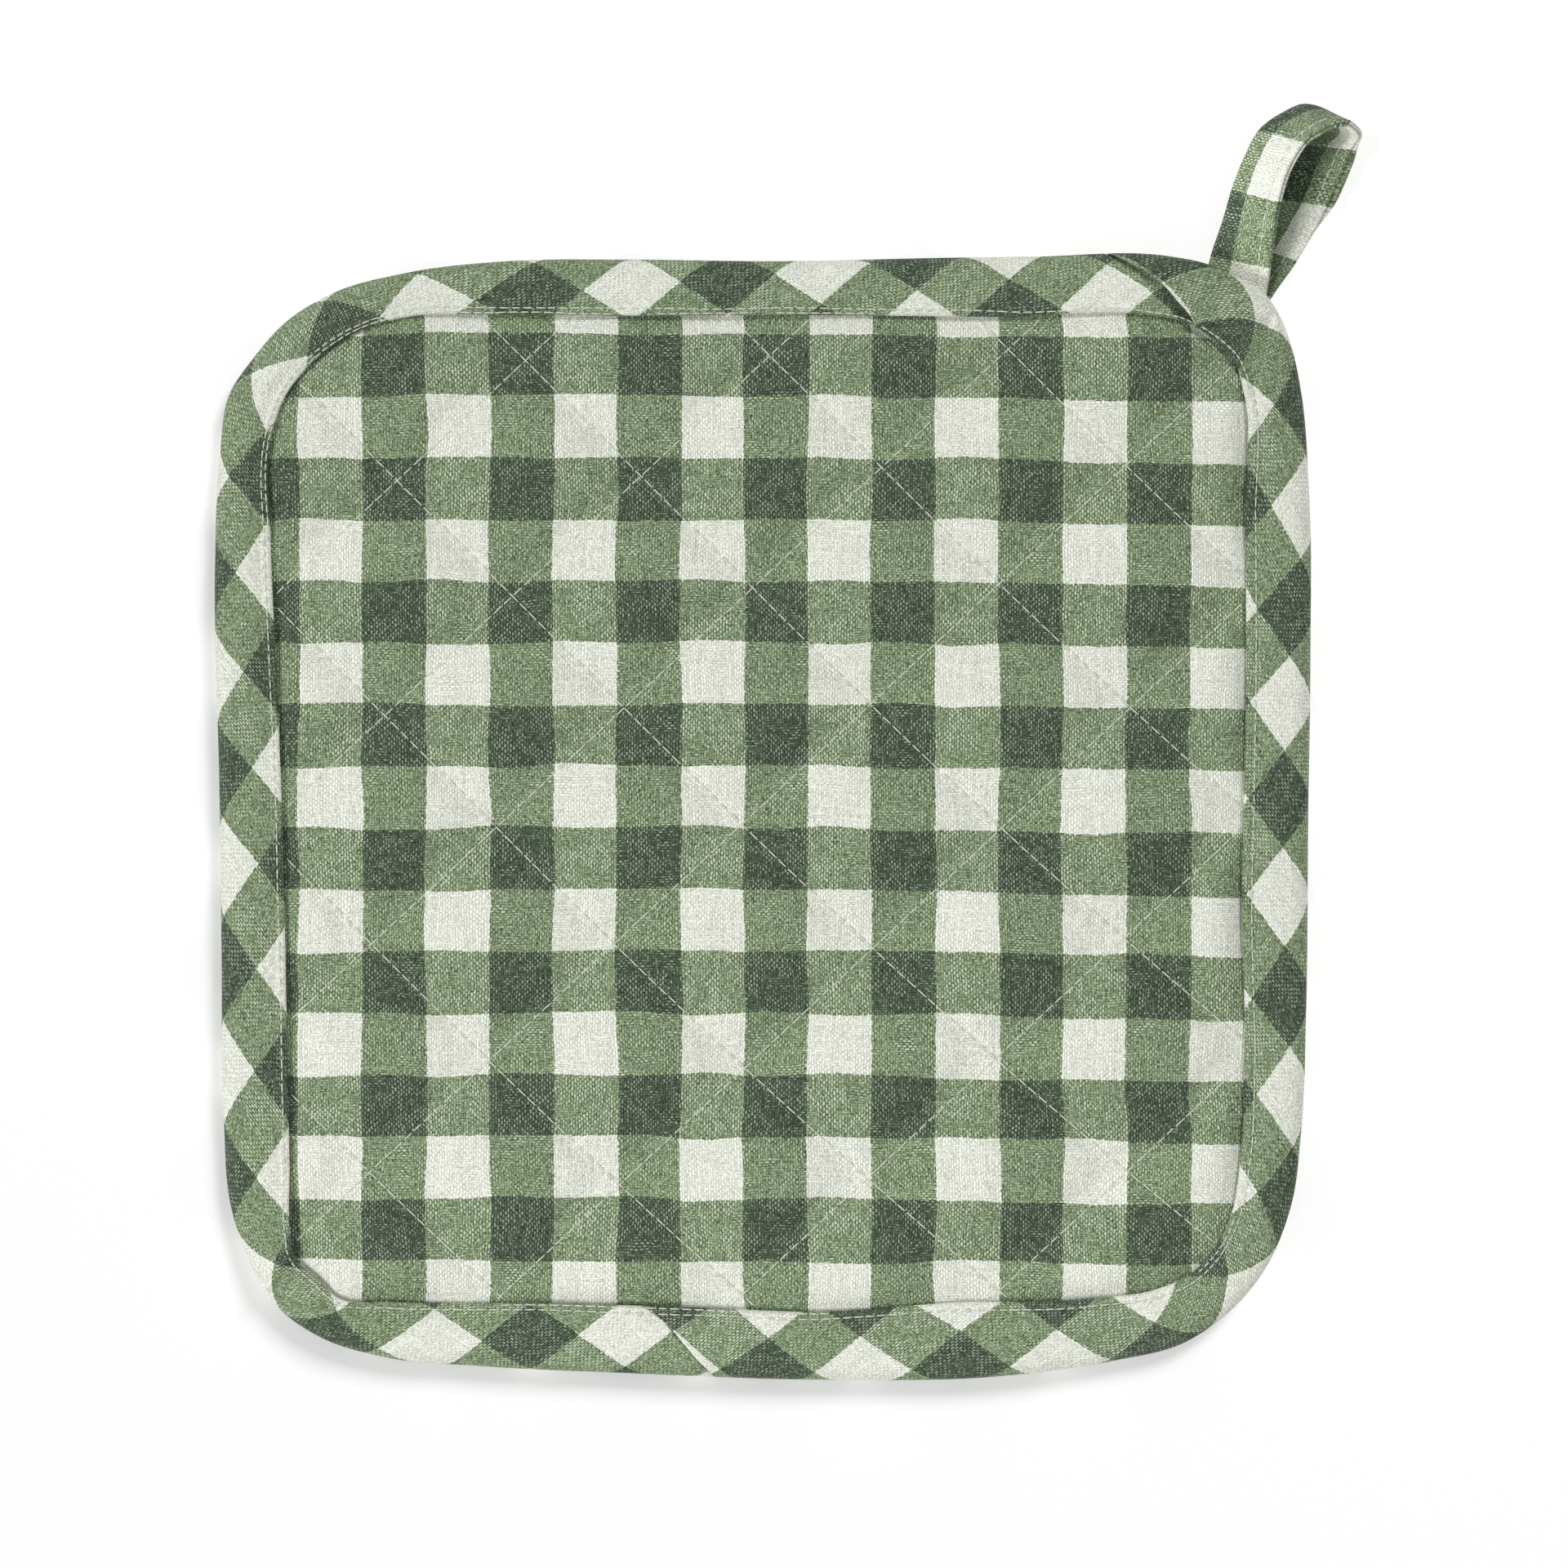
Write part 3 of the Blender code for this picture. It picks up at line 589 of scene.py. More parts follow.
def pad_checks(plan):
    """The pad's checks at plan points, counted in stripes: across and down, on the straight grain, with
    rows that sag to the right and threads that wander a little."""
    sag = SAG * np.clip((plan[..., 0] + 5.0) / 88.0, 0.0, 1.3) ** 1.5
    wander_x = 0.45 * lattice_noise(plan, 12.0, 11) + 0.14 * lattice_noise(plan, 5.0, 12)
    wander_y = 0.50 * lattice_noise(plan, 12.0, 13) + 0.14 * lattice_noise(plan, 5.0, 14)
    across = (plan[..., 0] - CHECK_LEFT + wander_x) / (CHECK_ACROSS / 2)
    down = (CHECK_TOP - plan[..., 1] - sag + wander_y) / (CHECK_DOWN / 2)
    return np.stack([across, down], axis=-1)


def make_pad(settings):
    """The quilted pad: a fine grid for its top and one half as fine for its back, sewn together at the
    edge by three triangles for each step of the back, which is two steps of the top."""
    steps = int(np.ceil(max(np.ptp(OUTER, axis=0)) * MM / settings.grid / 2))
    fine, coarse = 2 * steps + 1, steps + 1
    top_plan, back_plan = box_to_pad(fine), box_to_pad(coarse)
    top_depth, back_depth = depth_inside(top_plan), depth_inside(back_plan)
    top = pad_top(top_plan, top_depth, settings.rise / MM)
    top += (ROUND_HIGH - EDGE_HIGH) * edge_round(top_depth)
    back = pad_bottom(back_plan, back_depth)
    back += (ROUND_LOW - EDGE_LOW) * edge_round(back_depth)
    sheets = ((top_plan, top), (back_plan, back))
    points = np.vstack([np.column_stack([plan.reshape(-1, 2), level.ravel()]) for plan, level in sheets])
    uv = np.vstack([pad_checks(plan).reshape(-1, 2) for plan, _ in sheets])
    total = fine * fine
    upper, low = border(fine), border(coarse) + total
    a, b, c, next_low = upper[0::2], upper[1::2], np.roll(upper[0::2], -1), np.roll(low, -1)
    seam = [np.stack(corners, axis=1) for corners in ((a, low, b), (b, low, next_low), (b, next_low, c))]
    quads = np.concatenate([grid_faces(fine, fine), grid_faces(coarse, coarse)[:, ::-1] + total])
    return add_mesh("pad_cloth", points, np.concatenate([halved(quads), *seam]), uv)


def nominal_inset(section):
    """How far in the points of a section lie where the face is as wide as the section is drawn for."""
    return section[:, 0] * NOMINAL_FACE + section[:, 1]


def section_rows(rows, count):
    """The rows of a section, carried round by short straight steps, count points from the first to the
    last: share of the width, mm inwards, height."""
    rows = np.array(rows, float)
    nominal = np.column_stack([nominal_inset(rows), rows[:, 2], rows[:, 0]])
    inset, level, share = spline(nominal, count, False)[0].T
    return np.column_stack([share, inset - share * NOMINAL_FACE, np.maximum(level, 0.0)])


def binding_section():
    """The binding's whole section, closed, each stretch of it with its own number of points."""
    stretches = (
        (BINDING_BACK + BINDING_SIDE[:1], BACK_POINTS),
        (BINDING_SIDE + BINDING_FACE[:1], SIDE_POINTS),
        (BINDING_FACE, FACE_POINTS),
        (BINDING_FACE[-1:] + BINDING_INSIDE + BINDING_BACK[:1], INSIDE_POINTS),
    )
    return np.vstack([section_rows(rows, count + 1)[:-1] for rows, count in stretches])


def opposite_walls(section):
    """For each point of a folded section, the number of the one across the cloth from it."""
    place = np.column_stack([nominal_inset(section), section[:, 2]])
    away = np.linalg.norm(place[:, None] - place[None], axis=2)
    number = np.arange(len(section))
    apart = np.abs(number[:, None] - number)
    apart = np.minimum(apart, len(section) - apart)
    return np.where(apart < SAME_WALL, np.inf, away).argmin(axis=1)


def strip_checks(along, across, chain, first_is_dark):
    """The bias strip's checks, counted in stripes along both of its threads: how many meeting points lie
    before this place, plus and minus how far it lies from the row of meeting points. The way across is
    measured over the cloth, from its outermost line."""
    places, depths = np.transpose(chain)
    numbers = ramp(along, places, np.arange(len(chain)) + first_is_dark)
    level = ramp(along, places, depths + SIDE_CLOTH)
    off = (across - level) / (bpy.context.scene.pot_holder_cloth.strip_squeeze * CHECK_DIAGONAL)
    return np.stack([numbers + off, numbers - off + 1.0], axis=-1)


def stitched_row(along):
    """How far the row of stitches runs from the inner edge, at places along the outline."""
    places, insets = np.transpose(STITCHED_ROW)
    return np.interp(np.mod(along, AROUND), places, insets)


def face_relief(plan, along, inset, width):
    """How much higher the binding's face lies than its plain section: the pleat less the crease, long
    swells, a dip for each stitch beside their row, and ripples, which are stronger there."""
    swell = 0.22 * np.sin(11 * 2 * np.pi * along / AROUND + 0.7)
    swell = swell + 0.20 * lattice_noise(np.stack([along, inset * 0.7], axis=-1), 9.0, 22)
    ripples = lattice_noise(np.stack([along - inset * 0.8, inset * 0.5], axis=-1), 3.4, 21)
    near_stitch = bell(inset - (width - stitched_row(along)), 1.6)
    beside = near_stitch * (0.07 * np.cos(2 * np.pi * along / PUCKER) + 0.22 * ripples)
    return pleat_and_crease(plan) + swell * 0.7 + beside + 0.07 * ripples


def make_strip(name, start, end, chain, first_is_dark, lifted):
    """One bias strip, folded over the pad's edge: its section is carried along the outline between two
    slanting ends, each given by pairs of distances in from the outline and along it. The lifted end rides
    over the other strip, and both ends are rounded shut."""
    section = binding_section()
    of_width, further, high = section.T
    start, end = np.array(start), np.array(end)
    length = end[0, 1] - start[0, 1]
    ends = np.array(END_STEPS) / length
    share = np.linspace(0.0, 1.0, int(length / STRIP_STEP))
    share = np.concatenate([ends, share[1:-1], 1.0 - ends[::-1]])[:, None]
    nominal = np.maximum(nominal_inset(section), 0.0)
    begin, finish = (np.interp(nominal, line[:, 0], line[:, 1]) - line[0, 1] for line in (start, end))
    ease = SLANT_EASE / length
    slanted = smoothstep(1.0 - share / ease) * begin + smoothstep(1.0 - (1.0 - share) / ease) * finish
    along = start[0, 1] + share * length + slanted
    width = at_distance(WIDTH, along)
    tuck = 0.0 if lifted else smoothstep((HIDDEN_END + 1.0 - (1.0 - share) * length) / 2.0)
    inset = of_width * width + further * np.minimum(1.0, width / NARROW_FACE)
    inset = inset + TUCK * tuck * (1.0 - of_width)
    plan = binding_plan(along, inset)
    height = MID_HEIGHT + (high - MID_HEIGHT) * (1.0 - TUCK / MID_HEIGHT * tuck) + seat_lift(plan)
    upper = smoothstep((high - MID_HEIGHT) / 1.5)
    height = height + upper * face_relief(plan, along, inset, width)
    if lifted:
        height = height + LAP_LIFT * smoothstep(1.0 - share * length / LAP_EASE) * upper
    # Each end closes: its outer and inner walls draw together.
    both = (height + height[:, opposite_walls(section)]) / 2
    to_end = np.minimum(share, 1.0 - share) * length
    closing = np.sqrt(np.clip(1.0 - (1.0 - np.minimum(to_end / END_ROUNDING, 1.0)) ** 2, 0.0, 1.0))
    height = both + (height - both) * closing
    points = np.concatenate([plan, height[..., None]], axis=-1)
    outermost = BACK_POINTS + np.abs(high[BACK_POINTS : BACK_POINTS + SIDE_POINTS] - OUTERMOST_HIGH).argmin()
    steps = np.hypot(np.diff(inset, axis=1), np.diff(high))
    run = np.concatenate([np.zeros((len(along), 1)), np.cumsum(steps, axis=1)], axis=1)
    checks = strip_checks(along, run - run[:, outermost, None], chain, first_is_dark)
    return add_tube(name, points, checks, FACE_TURN)


def end_triangles(ring, turn):
    """Triangles that close a folded section's end: its points run out along one wall to the turn and back
    along the other, and each step of a wall is joined to the point nearest to it on the other wall."""
    one = np.arange(turn + 1)
    other = np.append(0, np.arange(len(ring) - 1, turn - 1, -1))
    apart = np.linalg.norm(ring[one][:, None] - ring[other][None], axis=-1)
    nearest = np.maximum.accumulate(apart.argmin(axis=1))
    nearest[0], nearest[-1] = 0, len(other) - 1
    facing = np.searchsorted(nearest, np.arange(1, len(other)), side="left")
    triangles = np.concatenate(
        [
            np.stack([one[:-1], one[1:], other[nearest[:-1]]], axis=1),
            np.stack([one[facing], other[1:], other[:-1]], axis=1),
        ]
    )
    distinct = (triangles != np.roll(triangles, 1, axis=1)).all(axis=1)
    return triangles[distinct]


def add_tube(name, points, checks, turn):
    """A closed strip of sections, rows by columns of points, with both of its ends shut."""
    rows, columns = points.shape[:2]
    sides = halved(grid_faces(rows, columns, closed=True))
    caps = [end_triangles(points[row], turn) + row * columns for row in (0, rows - 1)]
    return add_mesh(name, points.reshape(-1, 3), np.concatenate([sides, *caps]), checks.reshape(-1, 2))


def join(name, pieces):
    """One object of several meshes."""
    with bpy.context.temp_override(active_object=pieces[0], selected_editable_objects=pieces):
        bpy.ops.object.join()
    pieces[0].name = name
    pieces[0].data.name = name
    return pieces[0]


def make_binding():
    """Both strips of the binding: the first from its folded, lapped end to the join, the second from the
    join to its end hidden under the lap."""
    first = make_strip("first_strip", LAP_LINE, JOIN_LINE, FIRST_STRIP, FIRST_IS_DARK, True)
    hidden = [(depth, AROUND + place + HIDDEN_END) for depth, place in LAP_LINE]
    second = make_strip("second_strip", JOIN_LINE, hidden, SECOND_STRIP, SECOND_IS_DARK, False)
    return join("bias_binding", [first, second])


def loop_rows(count):
    """The loop's two edges and the place in the table of edges, at evenly spaced stations."""
    numbered = [folded + stitched + (float(row),) for row, (folded, stitched) in enumerate(LOOP_EDGES)]
    rows = spline(numbered, count, False)[0]
    rows[:, [2, 5]] = np.maximum(rows[:, [2, 5]], LOOP_CLOTH / 2)
    return rows[:, :3], rows[:, 3:6], rows[:, 6]


def loop_frame(folded, stitched):
    """The loop's directions at each station: across the strip and square to it."""
    across = stitched - folded
    along = np.gradient((folded + stitched) / 2, axis=0)
    square = np.cross(across, along)
    return across, square / np.linalg.norm(square, axis=1)[:, None]


def make_loop():
    """The loop's strip: a doubled section, round at its fold and open in two lips at its stitched edge,
    carried along the smooth curves through its two edges. Its checks are counted along the strip by its
    measured changes, and across it from the lengthways stripe at the fold."""
    folded, stitched, place = loop_rows(LOOP_STATIONS)
    across, square = loop_frame(folded, stitched)
    share, side = np.transpose(LOOP_SECTION)
    thick = (side * LOOP_CLOTH / 2)[:, None]
    points = folded[:, None] + across[:, None] * share[:, None] + square[:, None] * thick
    row, reach, far = PROUD_LIP
    proud = far * np.exp(-(((place - row) / reach) ** 4))
    lip = smoothstep((share - 0.9) / 0.06) * (side > 0.05)
    unit = across / np.linalg.norm(across, axis=1)[:, None]
    points += unit[:, None] * (proud[:, None] * lip)[..., None]
    points[..., 2] = np.maximum(points[..., 2], 0.02)
    along = ramp(place, LOOP_CHANGES, np.arange(len(LOOP_CHANGES)))
    stripe = share - np.where(side >= 0, *LOOP_GREEN_SHARES) + 1.0
    checks = np.stack(np.meshgrid(along, stripe, indexing="ij"), axis=-1)
    return add_tube("loop_strip", points, checks, len(share) // 2)


def stitch_tubes(name, rows, sewing, gap, arch, sink):
    """Short threads along rows of needle holes, each row with the way up: a tube of six sides for each,
    an arch that starts and ends a small share short of its holes. Its middle stands proud and its ends
    dive into the cloth."""
    spans = [(holes[:-1], holes[1:], np.broadcast_to(up, holes.shape)[:-1]) for holes, up in rows]
    starts, ends, ups = (np.vstack(column) for column in zip(*spans))
    short = (ends - starts) * gap
    starts, along = starts + short, (ends - short) - (starts + short)
    rings, sides = 6, 6
    share = np.linspace(0.0, 1.0, rings)
    lift = arch * np.sin(np.pi * share) ** 0.6 - sink * (1.0 - np.sin(np.pi * share) ** 0.5)
    thick = 0.55 + 0.45 * np.sin(np.pi * np.clip(share, 0.04, 0.96)) ** 0.5
    thick = thick * (sewing.thread / MM / 2)
    unit = along / np.linalg.norm(along, axis=1)[:, None]
    beside = np.cross(ups, unit)
    beside /= np.linalg.norm(beside, axis=1)[:, None]
    above = np.cross(unit, beside)
    centre = starts[:, None] + along[:, None] * share[:, None] + above[:, None] * lift[:, None]
    turn = np.arange(sides)[:, None] / sides * 2 * np.pi
    around = beside[:, None] * np.cos(turn) + above[:, None] * np.sin(turn)
    points = centre[:, :, None] + around[:, None] * thick[:, None, None]
    points[..., 2] = np.maximum(points[..., 2], 0.0)
    fan = np.stack([np.zeros(sides - 2, int), np.arange(1, sides - 1), np.arange(2, sides)], axis=1)
    walls = halved(grid_faces(rings, sides, closed=True))
    one = np.concatenate([walls, fan[:, ::-1], fan + (rings - 1) * sides])
    faces = (one[None] + (np.arange(len(starts)) * rings * sides)[:, None, None]).reshape(-1, 3)
    return add_mesh(name, points.reshape(-1, 3), faces)


def even_steps(path, length, seed):
    """Points along a path at steps of about the given length, a little uneven as hand-guided sewing is."""
    run = run_along(path)
    count = max(2, int(round(run[-1] / length)) + 1)
    wanted = np.linspace(0.0, run[-1], count)
    wanted[1:-1] += np.random.default_rng(seed).uniform(-0.08, 0.08, count - 2) * length
    return resampled(path, run, wanted)


def quilting_paths():
    """The lines of quilting inside the binding, as plan points, and how deep their thread is sunk."""
    fine = np.linspace(0.0, 8.0, 900)
    paths = [(steps_to_lines(number, fine), 0.0) for number in range(len(FALLING_LINES))]
    paths += [(steps_to_lines(fine, number), RISING_SUNK) for number in range(len(RISING_LINES))]
    inside = [(path[depth_inside(path) > 0.35], sunk) for path, sunk in paths]
    return [(path, sunk) for path, sunk in inside if len(path) > 12]


def make_quilting(sewing, rise):
    """Stitches along every line of quilting, pulled down into their channels."""
    rows = []
    for number, (path, sunk) in enumerate(quilting_paths()):
        holes = even_steps(path, sewing.quilt_stitch / MM, 100 + number)
        level = pad_top(holes, depth_inside(holes), rise) - sunk
        rows.append((np.column_stack([holes, level]), UP))
    return stitch_tubes("quilting_stitches", rows, sewing, 0.04, 0.16, 0.12)


def face_points(along, inset, lifted):
    """Points on the binding's face near its inner edge, at distances along the outline and in from it."""
    width = at_distance(WIDTH, along)
    plan = binding_plan(along, inset)
    rows = np.array(BINDING_FACE[6:0:-1])
    level = np.interp(width - inset, NOMINAL_FACE - nominal_inset(rows), rows[:, 2])
    level = level + face_relief(plan, along, inset, width)
    level = level + lifted * LAP_LIFT * smoothstep(1.0 - (along - LAP_LINE[-1][1]) / LAP_EASE)
    return np.column_stack([plan, level + seat_lift(plan)])


def make_topstitching(sewing):
    """The binding's rows of stitching: one all the way round and a second one in stretches."""
    length = sewing.edge_stitch / MM
    lap = LAP_LINE[-1][1]
    stretches = [(lap + 0.4, lap + 40.0, None, 1.0), (lap + 40.0, AROUND + lap - 1.5, None, 0.0)]
    stretches += [(*stretch, 0.0) for stretch in SECOND_ROWS]
    rows = []
    for number, (start, end, inset, lifted) in enumerate(stretches):
        count = int((end - start) / length)
        along = start + np.arange(count + 1) * length
        along[1:-1] += np.random.default_rng(200 + number).uniform(-0.1, 0.1, count - 1) * length
        wander = 0.12 * lattice_noise(np.stack([along, 0 * along], axis=-1), 12.0, 31 + number)
        from_edge = stitched_row(along) if inset is None else inset
        rows.append((face_points(along, at_distance(WIDTH, along) - from_edge + wander, lifted), UP))
    return stitch_tubes("binding_stitches", rows, sewing, 0.09, 0.16, 0.10)


def make_loop_stitching(sewing):
    """The loop's row of stitching, on both of its faces, from one end to the other."""
    folded, stitched, _ = loop_rows(400)
    across, square = loop_frame(folded, stitched)
    share, level = LOOP_SEWN
    rows = []
    for side in (1.0, -1.0):
        line = folded + across * share + square * (side * level * LOOP_CLOTH / 2)
        holes = even_steps(np.column_stack([line, square * side])[6:-6], sewing.edge_stitch / MM, 300)
        rows.append((holes[:, :3], holes[:, 3:]))
    return stitch_tubes("loop_stitches", rows, sewing, 0.09, 0.14, 0.10)


def feed(tree, node, inputs):
    """Gives inputs of a node, by name or number, another node's socket or a value of their own."""
    for key, value in inputs.items():
        if isinstance(value, bpy.types.NodeSocket):
            tree.links.new(value, node.inputs[key])
        else:
            node.inputs[key].default_value = value


def add_node(tree, kind, place, inputs=None, **settings):
    """A shader node at a place, with its settings and inputs."""
    node = tree.nodes.new(kind)
    node.location = place
    for key, value in settings.items():
        setattr(node, key, value)
    feed(tree, node, inputs or {})
    return node


def maths(tree, operation, *values, place=(0, 0), clamp=False):
    """The result of a Math node."""
    inputs = dict(enumerate(values))
    return add_node(tree, "ShaderNodeMath", place, inputs, operation=operation, use_clamp=clamp).outputs[0]


def vector_maths(tree, operation, inputs, place):
    """The result of a Vector Math node."""
    return add_node(tree, "ShaderNodeVectorMath", place, inputs, operation=operation).outputs[0]


def mixed(tree, share, low, high, place=(0, 0)):
    """The result of a colour Mix node."""
    return add_node(tree, "ShaderNodeMix", place, {0: share, 6: low, 7: high}, data_type="RGBA").outputs[2]


def noise(tree, vector, scale, detail, place, dimensions="2D"):
    """A Noise node."""
    inputs = {"Vector": vector, "Scale": scale, "Detail": detail}
    return add_node(tree, "ShaderNodeTexNoise", place, inputs, noise_dimensions=dimensions)


def pair(tree, x, y, place):
    """A vector of two numbers."""
    return add_node(tree, "ShaderNodeCombineXYZ", place, {0: x, 1: y}).outputs[0]


def new_group(name, inputs, outputs, left, right):
    """An empty node group with named sockets, and its input and output nodes."""
    tree = bpy.data.node_groups.new(name, "ShaderNodeTree")
    for way, sockets in (("INPUT", inputs), ("OUTPUT", outputs)):
        for socket, kind in sockets.items():
            tree.interface.new_socket(socket, in_out=way, socket_type=kind)
    return tree, add_node(tree, "NodeGroupInput", (left, 0)), add_node(tree, "NodeGroupOutput", (right, 0))


def group_node(tree, name, place, inputs):
    """A node group in use."""
    return add_node(tree, "ShaderNodeGroup", place, inputs, node_tree=bpy.data.node_groups[name])


def new_material(name, inputs):
    """A material, its node tree and its surface shader, with values for the shader's inputs."""
    material = bpy.data.materials.new(name)
    material.use_nodes = True
    shader = material.node_tree.nodes["Principled BSDF"]
    feed(material.node_tree, shader, inputs)
    return material, material.node_tree, shader


def weave_group():
    """Plain weave: each thread, round across, comes up for a float about a crossing and a half long over
    every other crossing thread, and its neighbour does so a crossing further on. The higher of the two
    sets shows. Coordinates are counted in threads. Patches a dozen threads wide let one set stand out
    over the other. It puts out the height, painted highlights on the highest floats, each thread's own tone,
    and which set is on top."""
    tree, source, result = new_group(
        "Plain weave",
        {"Threads": "NodeSocketVector"},
        {name: "NodeSocketFloat" for name in ("Height", "Painted highlights", "Tone", "Warp")},
        -1600,
        1400,
    )
    step = partial(maths, tree)
    given = source.outputs["Threads"]
    bend = noise(tree, given, 0.16, 1.0, (-1400, -300)).outputs["Color"]
    bend = vector_maths(tree, "SUBTRACT", {0: bend, 1: (0.5, 0.5, 0.5)}, (-1220, -300))
    bend = vector_maths(tree, "SCALE", {0: bend, "Scale": 1.1}, (-1060, -300))
    moved = vector_maths(tree, "ADD", {0: given, 1: bend}, (-900, -100))
    split = add_node(tree, "ShaderNodeSeparateXYZ", (-740, -100), {0: moved})
    threads = (split.outputs[0], split.outputs[1])
    numbers = [step("FLOOR", thread, place=(-560, -300 * axis)) for axis, thread in enumerate(threads)]
    patch = noise(tree, given, 0.10, 1.0, (-240, 400)).outputs[0]
    leaning = step("MULTIPLY_ADD", patch, 2.8, -0.60, place=(-60, 400), clamp=True)
    favours = (leaning, step("SUBTRACT", 1.0, leaning, place=(80, 400)))
    heights, tones = [], []
    for axis in (0, 1):
        level = -500 * axis
        own, crossing, number = threads[axis], threads[1 - axis], numbers[axis]
        side = step("SUBTRACT", own, 0.5, place=(-400, level))
        side = step("PINGPONG", side, 0.5, place=(-240, level))
        crown = step("MULTIPLY_ADD", step("POWER", side, 2.0), -3.6, 1.0, place=(-60, level), clamp=True)
        phase = step("ADD", crossing, number, place=(-400, level - 160))
        phase = step("SUBTRACT", phase, 0.5 - (1 - axis), place=(-240, level - 160))
        reach = step("PINGPONG", phase, 1.0, place=(-60, level - 160))
        taper = step("POWER", reach, 5.0, place=(80, level - 160))
        taper = step("MULTIPLY_ADD", taper, -2.6, 1.0, place=(240, level - 160), clamp=True)
        taper = step("MAXIMUM", taper, (0.45, 0.15)[axis], place=(320, level - 160))
        piece = step("FLOOR", step("MULTIPLY_ADD", phase, 0.5, 0.5, place=(-60, level - 300)))
        piece = {"Vector": pair(tree, number, piece, (80, level - 300))}
        random = add_node(tree, "ShaderNodeTexWhiteNoise", (240, level - 300), piece, noise_dimensions="2D")
        standing = step("MULTIPLY_ADD", favours[axis], 0.62, 0.36, place=(240, level))
        uneven = step("MULTIPLY_ADD", random.outputs["Value"], 0.60, 0.66, place=(400, level - 300))
        float_shape = step("MULTIPLY", crown, taper, place=(400, level))
        size = step("MULTIPLY", standing, uneven, place=(560, level - 160))
        heights.append(step("MULTIPLY", float_shape, size, place=(720, level), clamp=True))
        slow = step("MULTIPLY", crossing, 0.05)
        along = pair(tree, step("MULTIPLY", number, 3.1 + axis), slow, (400, level - 460))
        tones.append(noise(tree, along, 1.0, 0.0, (560, level - 460)).outputs[0])
    warp = step("GREATER_THAN", heights[0], heights[1], place=(900, -300))
    height = step("MAXIMUM", heights[0], heights[1], place=(900, 0))
    both = {0: warp, 2: tones[1], 3: tones[0]}
    tone = add_node(tree, "ShaderNodeMix", (1060, -460), both, data_type="FLOAT").outputs[0]
    # Painted highlights: pale flecks wherever a float stands highest.
    painted_highlights = step("MULTIPLY_ADD", height, 3.4, -1.9, place=(1060, 0), clamp=True)
    tone = step("SUBTRACT", tone, 0.5, place=(1220, -300))
    feed(tree, result, {"Height": height, "Painted highlights": painted_highlights, "Tone": tone, "Warp": warp})
    return tree


def gingham_group():
    """Gingham: green and cream stripes both ways, of equal width. Coordinates are counted in stripes, and
    even ones are green. Where green crosses green it is dark, where it crosses cream it is mid green. A
    stripe's edge steps by up to a thread from one crossing thread to the next."""
    colours = {name: "NodeSocketColor" for name in ("Cream", "Mid", "Dark")}
    tree, source, result = new_group(
        "Gingham",
        {"Stripes": "NodeSocketVector", "Threads": "NodeSocketFloat", **colours},
        {"Color": "NodeSocketColor", "Warp green": "NodeSocketFloat", "Weft green": "NodeSocketFloat"},
        -1100,
        700,
    )
    step = partial(maths, tree)
    given = source.outputs
    split = add_node(tree, "ShaderNodeSeparateXYZ", (-900, 0), {0: given["Stripes"]})
    greens = []
    for axis in (0, 1):
        level = -400 * axis
        thread = step("MULTIPLY", split.outputs[1 - axis], given["Threads"], place=(-700, level))
        number = {"W": step("FLOOR", thread, place=(-540, level))}
        random = add_node(tree, "ShaderNodeTexWhiteNoise", (-380, level), number, noise_dimensions="1D")
        jitter = step("MULTIPLY_ADD", random.outputs["Value"], 0.022, -0.011, place=(-220, level))
        place = step("ADD", split.outputs[axis], jitter, place=(-60, level))
        stripe = step("FLOORED_MODULO", place, 2.0, place=(100, level))
        greens.append(step("LESS_THAN", stripe, 1.0, place=(260, level)))
    count = step("ADD", greens[0], greens[1], place=(420, -200))
    some = mixed(tree, step("MINIMUM", count, 1.0), given["Cream"], given["Mid"], place=(420, 100))
    both = step("SUBTRACT", count, 1.0, clamp=True)
    colour = mixed(tree, both, some, given["Dark"], place=(560, 100))
    feed(tree, result, {"Color": colour, "Warp green": greens[0], "Weft green": greens[1]})
    return tree


